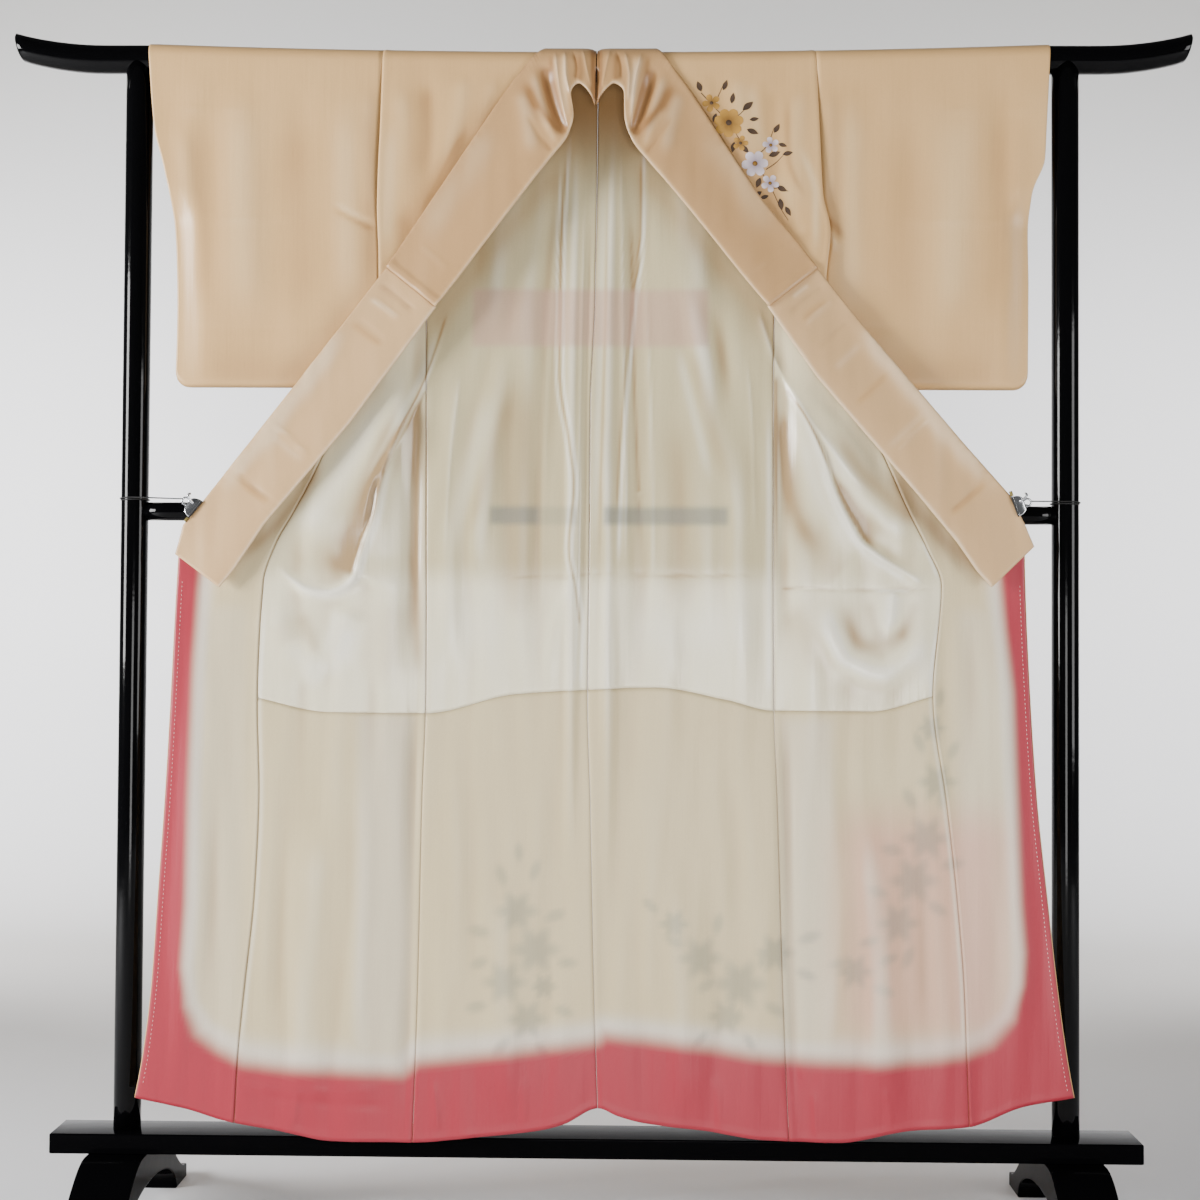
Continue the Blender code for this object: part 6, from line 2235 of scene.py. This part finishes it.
@dataclass
class Studio:
    """Pale floor and backdrop in one sweep, soft lights and the camera at the photograph's angle."""

    sweep_radius: float = 0.9
    back: float = 2.4
    reach: float = 5.0
    half_width: float = 6.0
    # paper of the wall with its faint second tone, then painted shade: the floor darker over a band behind the
    # stand, and the wall darker towards its top, sRGB
    grey: str = "#F0F0F2"
    grey_deep: str = "#EAEAEC"
    floor: str = "#D2CFCC"
    top: str = "#D6D5D2"
    # light from the whole room, sRGB and strength
    air: str = "#F2F3F5"
    air_strength: float = 0.09
    # camera: place in metres, turn in degrees, focal length and sensor in mm
    eye: tuple[float, float, float] = (0.04426, -2.54075, 0.83457)
    turn: tuple[float, float, float] = (91.411, -0.343, 0.909)
    lens: float = 52.506
    sensor: float = 36.0

    def backdrop(self) -> None:
        """Floor, a quarter turn and a wall, carried along x."""
        turn = np.linspace(0.0, math.pi / 2, 24)
        ground, wall = np.linspace(-self.reach, self.back, 12)[:-1], self.sweep_radius + np.linspace(0.5, 4.0, 5)
        y = np.concatenate([ground, self.back + self.sweep_radius * np.sin(turn),
                            np.full(len(wall), self.back + self.sweep_radius)])
        z = np.concatenate([np.zeros(len(ground)), self.sweep_radius * (1 - np.cos(turn)), wall])
        x = np.linspace(-self.half_width, self.half_width, 13)[:, None]
        points = np.stack(np.broadcast_arrays(x, y, z), axis=-1)
        sweep = mesh_object("studio_sweep", points, facing=(0.0, -1.0, 1.0))
        # matte paper without gloss, so that a soft shadow shows on it; painted shade darkens the floor behind the
        # stand and the wall's top
        material, tree, shader, place = start_material("paper_backdrop_matte")
        faint = add(tree, "ShaderNodeTexNoise", None, {"Vector": place, "Scale": 1.5}).outputs[0]
        axes = add(tree, "ShaderNodeSeparateXYZ", None, {0: place}).outputs
        colour = add(tree, "ShaderNodeMix", COLOURS, {0: faint, 6: linear(self.grey), 7: linear(self.grey_deep)})
        for axis, near, far, tone in ((1, 0.2, 1.3, self.floor), (1, 2.1, 3.2, self.grey), (2, 1.7, 3.3, self.top)):
            share = add(tree, "ShaderNodeMapRange", {"interpolation_type": "SMOOTHSTEP"},
                        {"Value": axes[axis], "From Min": near, "From Max": far}).outputs[0]
            colour = add(tree, "ShaderNodeMix", COLOURS, {0: share, 6: colour.outputs[2], 7: linear(tone)})
        tree.links.new(colour.outputs[2], shader.inputs["Base Color"])
        shader.inputs["Roughness"].default_value = 0.9
        sweep.data.materials.append(material)

    def light(self, lamp: Lamp) -> None:
        """Builds a lamp, turned to the point that it is aimed at.

        Args:
            lamp: the lamp.
        """
        data = bpy.data.lights.new(lamp.name, "AREA")
        data.shape, data.size, data.energy = "SQUARE", lamp.size, lamp.power
        obj = bpy.data.objects.new(lamp.name, data)
        bpy.context.scene.collection.objects.link(obj)
        run = np.array(lamp.aim) - np.array(lamp.place)
        rise = math.atan2(run[2], math.hypot(run[0], run[1]))
        obj.location = lamp.place
        obj.rotation_euler = (math.pi / 2 + rise, 0.0, math.atan2(run[1], run[0]) - math.pi / 2)

    def camera(self) -> None:
        """Camera found from the stand's and the garment's places in the photograph."""
        data = bpy.data.cameras.new("camera")
        data.lens, data.sensor_width, data.clip_end = self.lens, self.sensor, 60.0
        obj = bpy.data.objects.new("camera", data)
        bpy.context.scene.collection.objects.link(obj)
        obj.location = self.eye
        obj.rotation_euler = tuple(math.radians(angle) for angle in self.turn)
        bpy.context.scene.camera = obj

    def build(self) -> None:
        """Builds the studio."""
        self.backdrop()
        self.camera()
        for lamp in LAMPS:
            self.light(lamp)
        world = bpy.data.worlds.new("studio_air")
        world.use_nodes = True
        world.node_tree.nodes["Background"].inputs["Color"].default_value = linear(self.air)
        world.node_tree.nodes["Background"].inputs["Strength"].default_value = self.air_strength
        bpy.context.scene.world = world


def rear_depth(x: Array, z: Array) -> Array:
    """Depth y of the outer cloth's rear face."""
    return body_depth(x, z) + REAR_STEP


def paint_sprays() -> None:
    """Paints the sprays on the front of the right shoulder and on the outer cloth's rear face at the hem."""
    front = Shoulder(Side.RIGHT).front
    umber, green = (UMBER_PIGMENT, UMBER_PIGMENT), (GREEN_PIGMENT, GREEN_PIGMENT)
    for name, spray, painting, depth, outward in (
        ("shoulder_spray_gold", SHOULDER_HIGH, Painting(OCHRE_PIGMENT, UMBER_PIGMENT, *umber), front, -1.0),
        ("shoulder_spray_white", SHOULDER_LOW, Painting(WHITE_PIGMENT, GOLD_LEAF, *umber), front, -1.0),
        ("hem_spray_left", HEM_LEFT, Painting(WHITE_PIGMENT, GOLD_LEAF, *green), rear_depth, 1.0),
        ("hem_spray_right", HEM_RIGHT, Painting(ROSE_PIGMENT, GOLD_LEAF, GREEN_PIGMENT, UMBER_PIGMENT),
         rear_depth, 1.0),
        ("hem_spray_far", HEM_FAR, Painting(OCHRE_PIGMENT, UMBER_PIGMENT, *green), rear_depth, 1.0),
    ):
        painting.build(name, spray, depth, outward)


def main() -> None:
    """Builds the studio, the stand, the garment and its fastenings."""
    logging.basicConfig(level=logging.INFO, format="%(name)s %(message)s")
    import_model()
    Studio().build()
    Stand().build()
    body = Body()
    body.build()
    outer, collar, thread = OUTER_SILK.material(), COLLAR_FINISH.material(), CORD.material()
    paint_sprays()
    for side in Side:
        body.sewing(side)
        Shoulder(side).build(outer)
        Sleeve(side).build(outer)
        Collar(side).build(collar)
        Clip(side).build(thread)


if __name__ == "__main__":
    main()
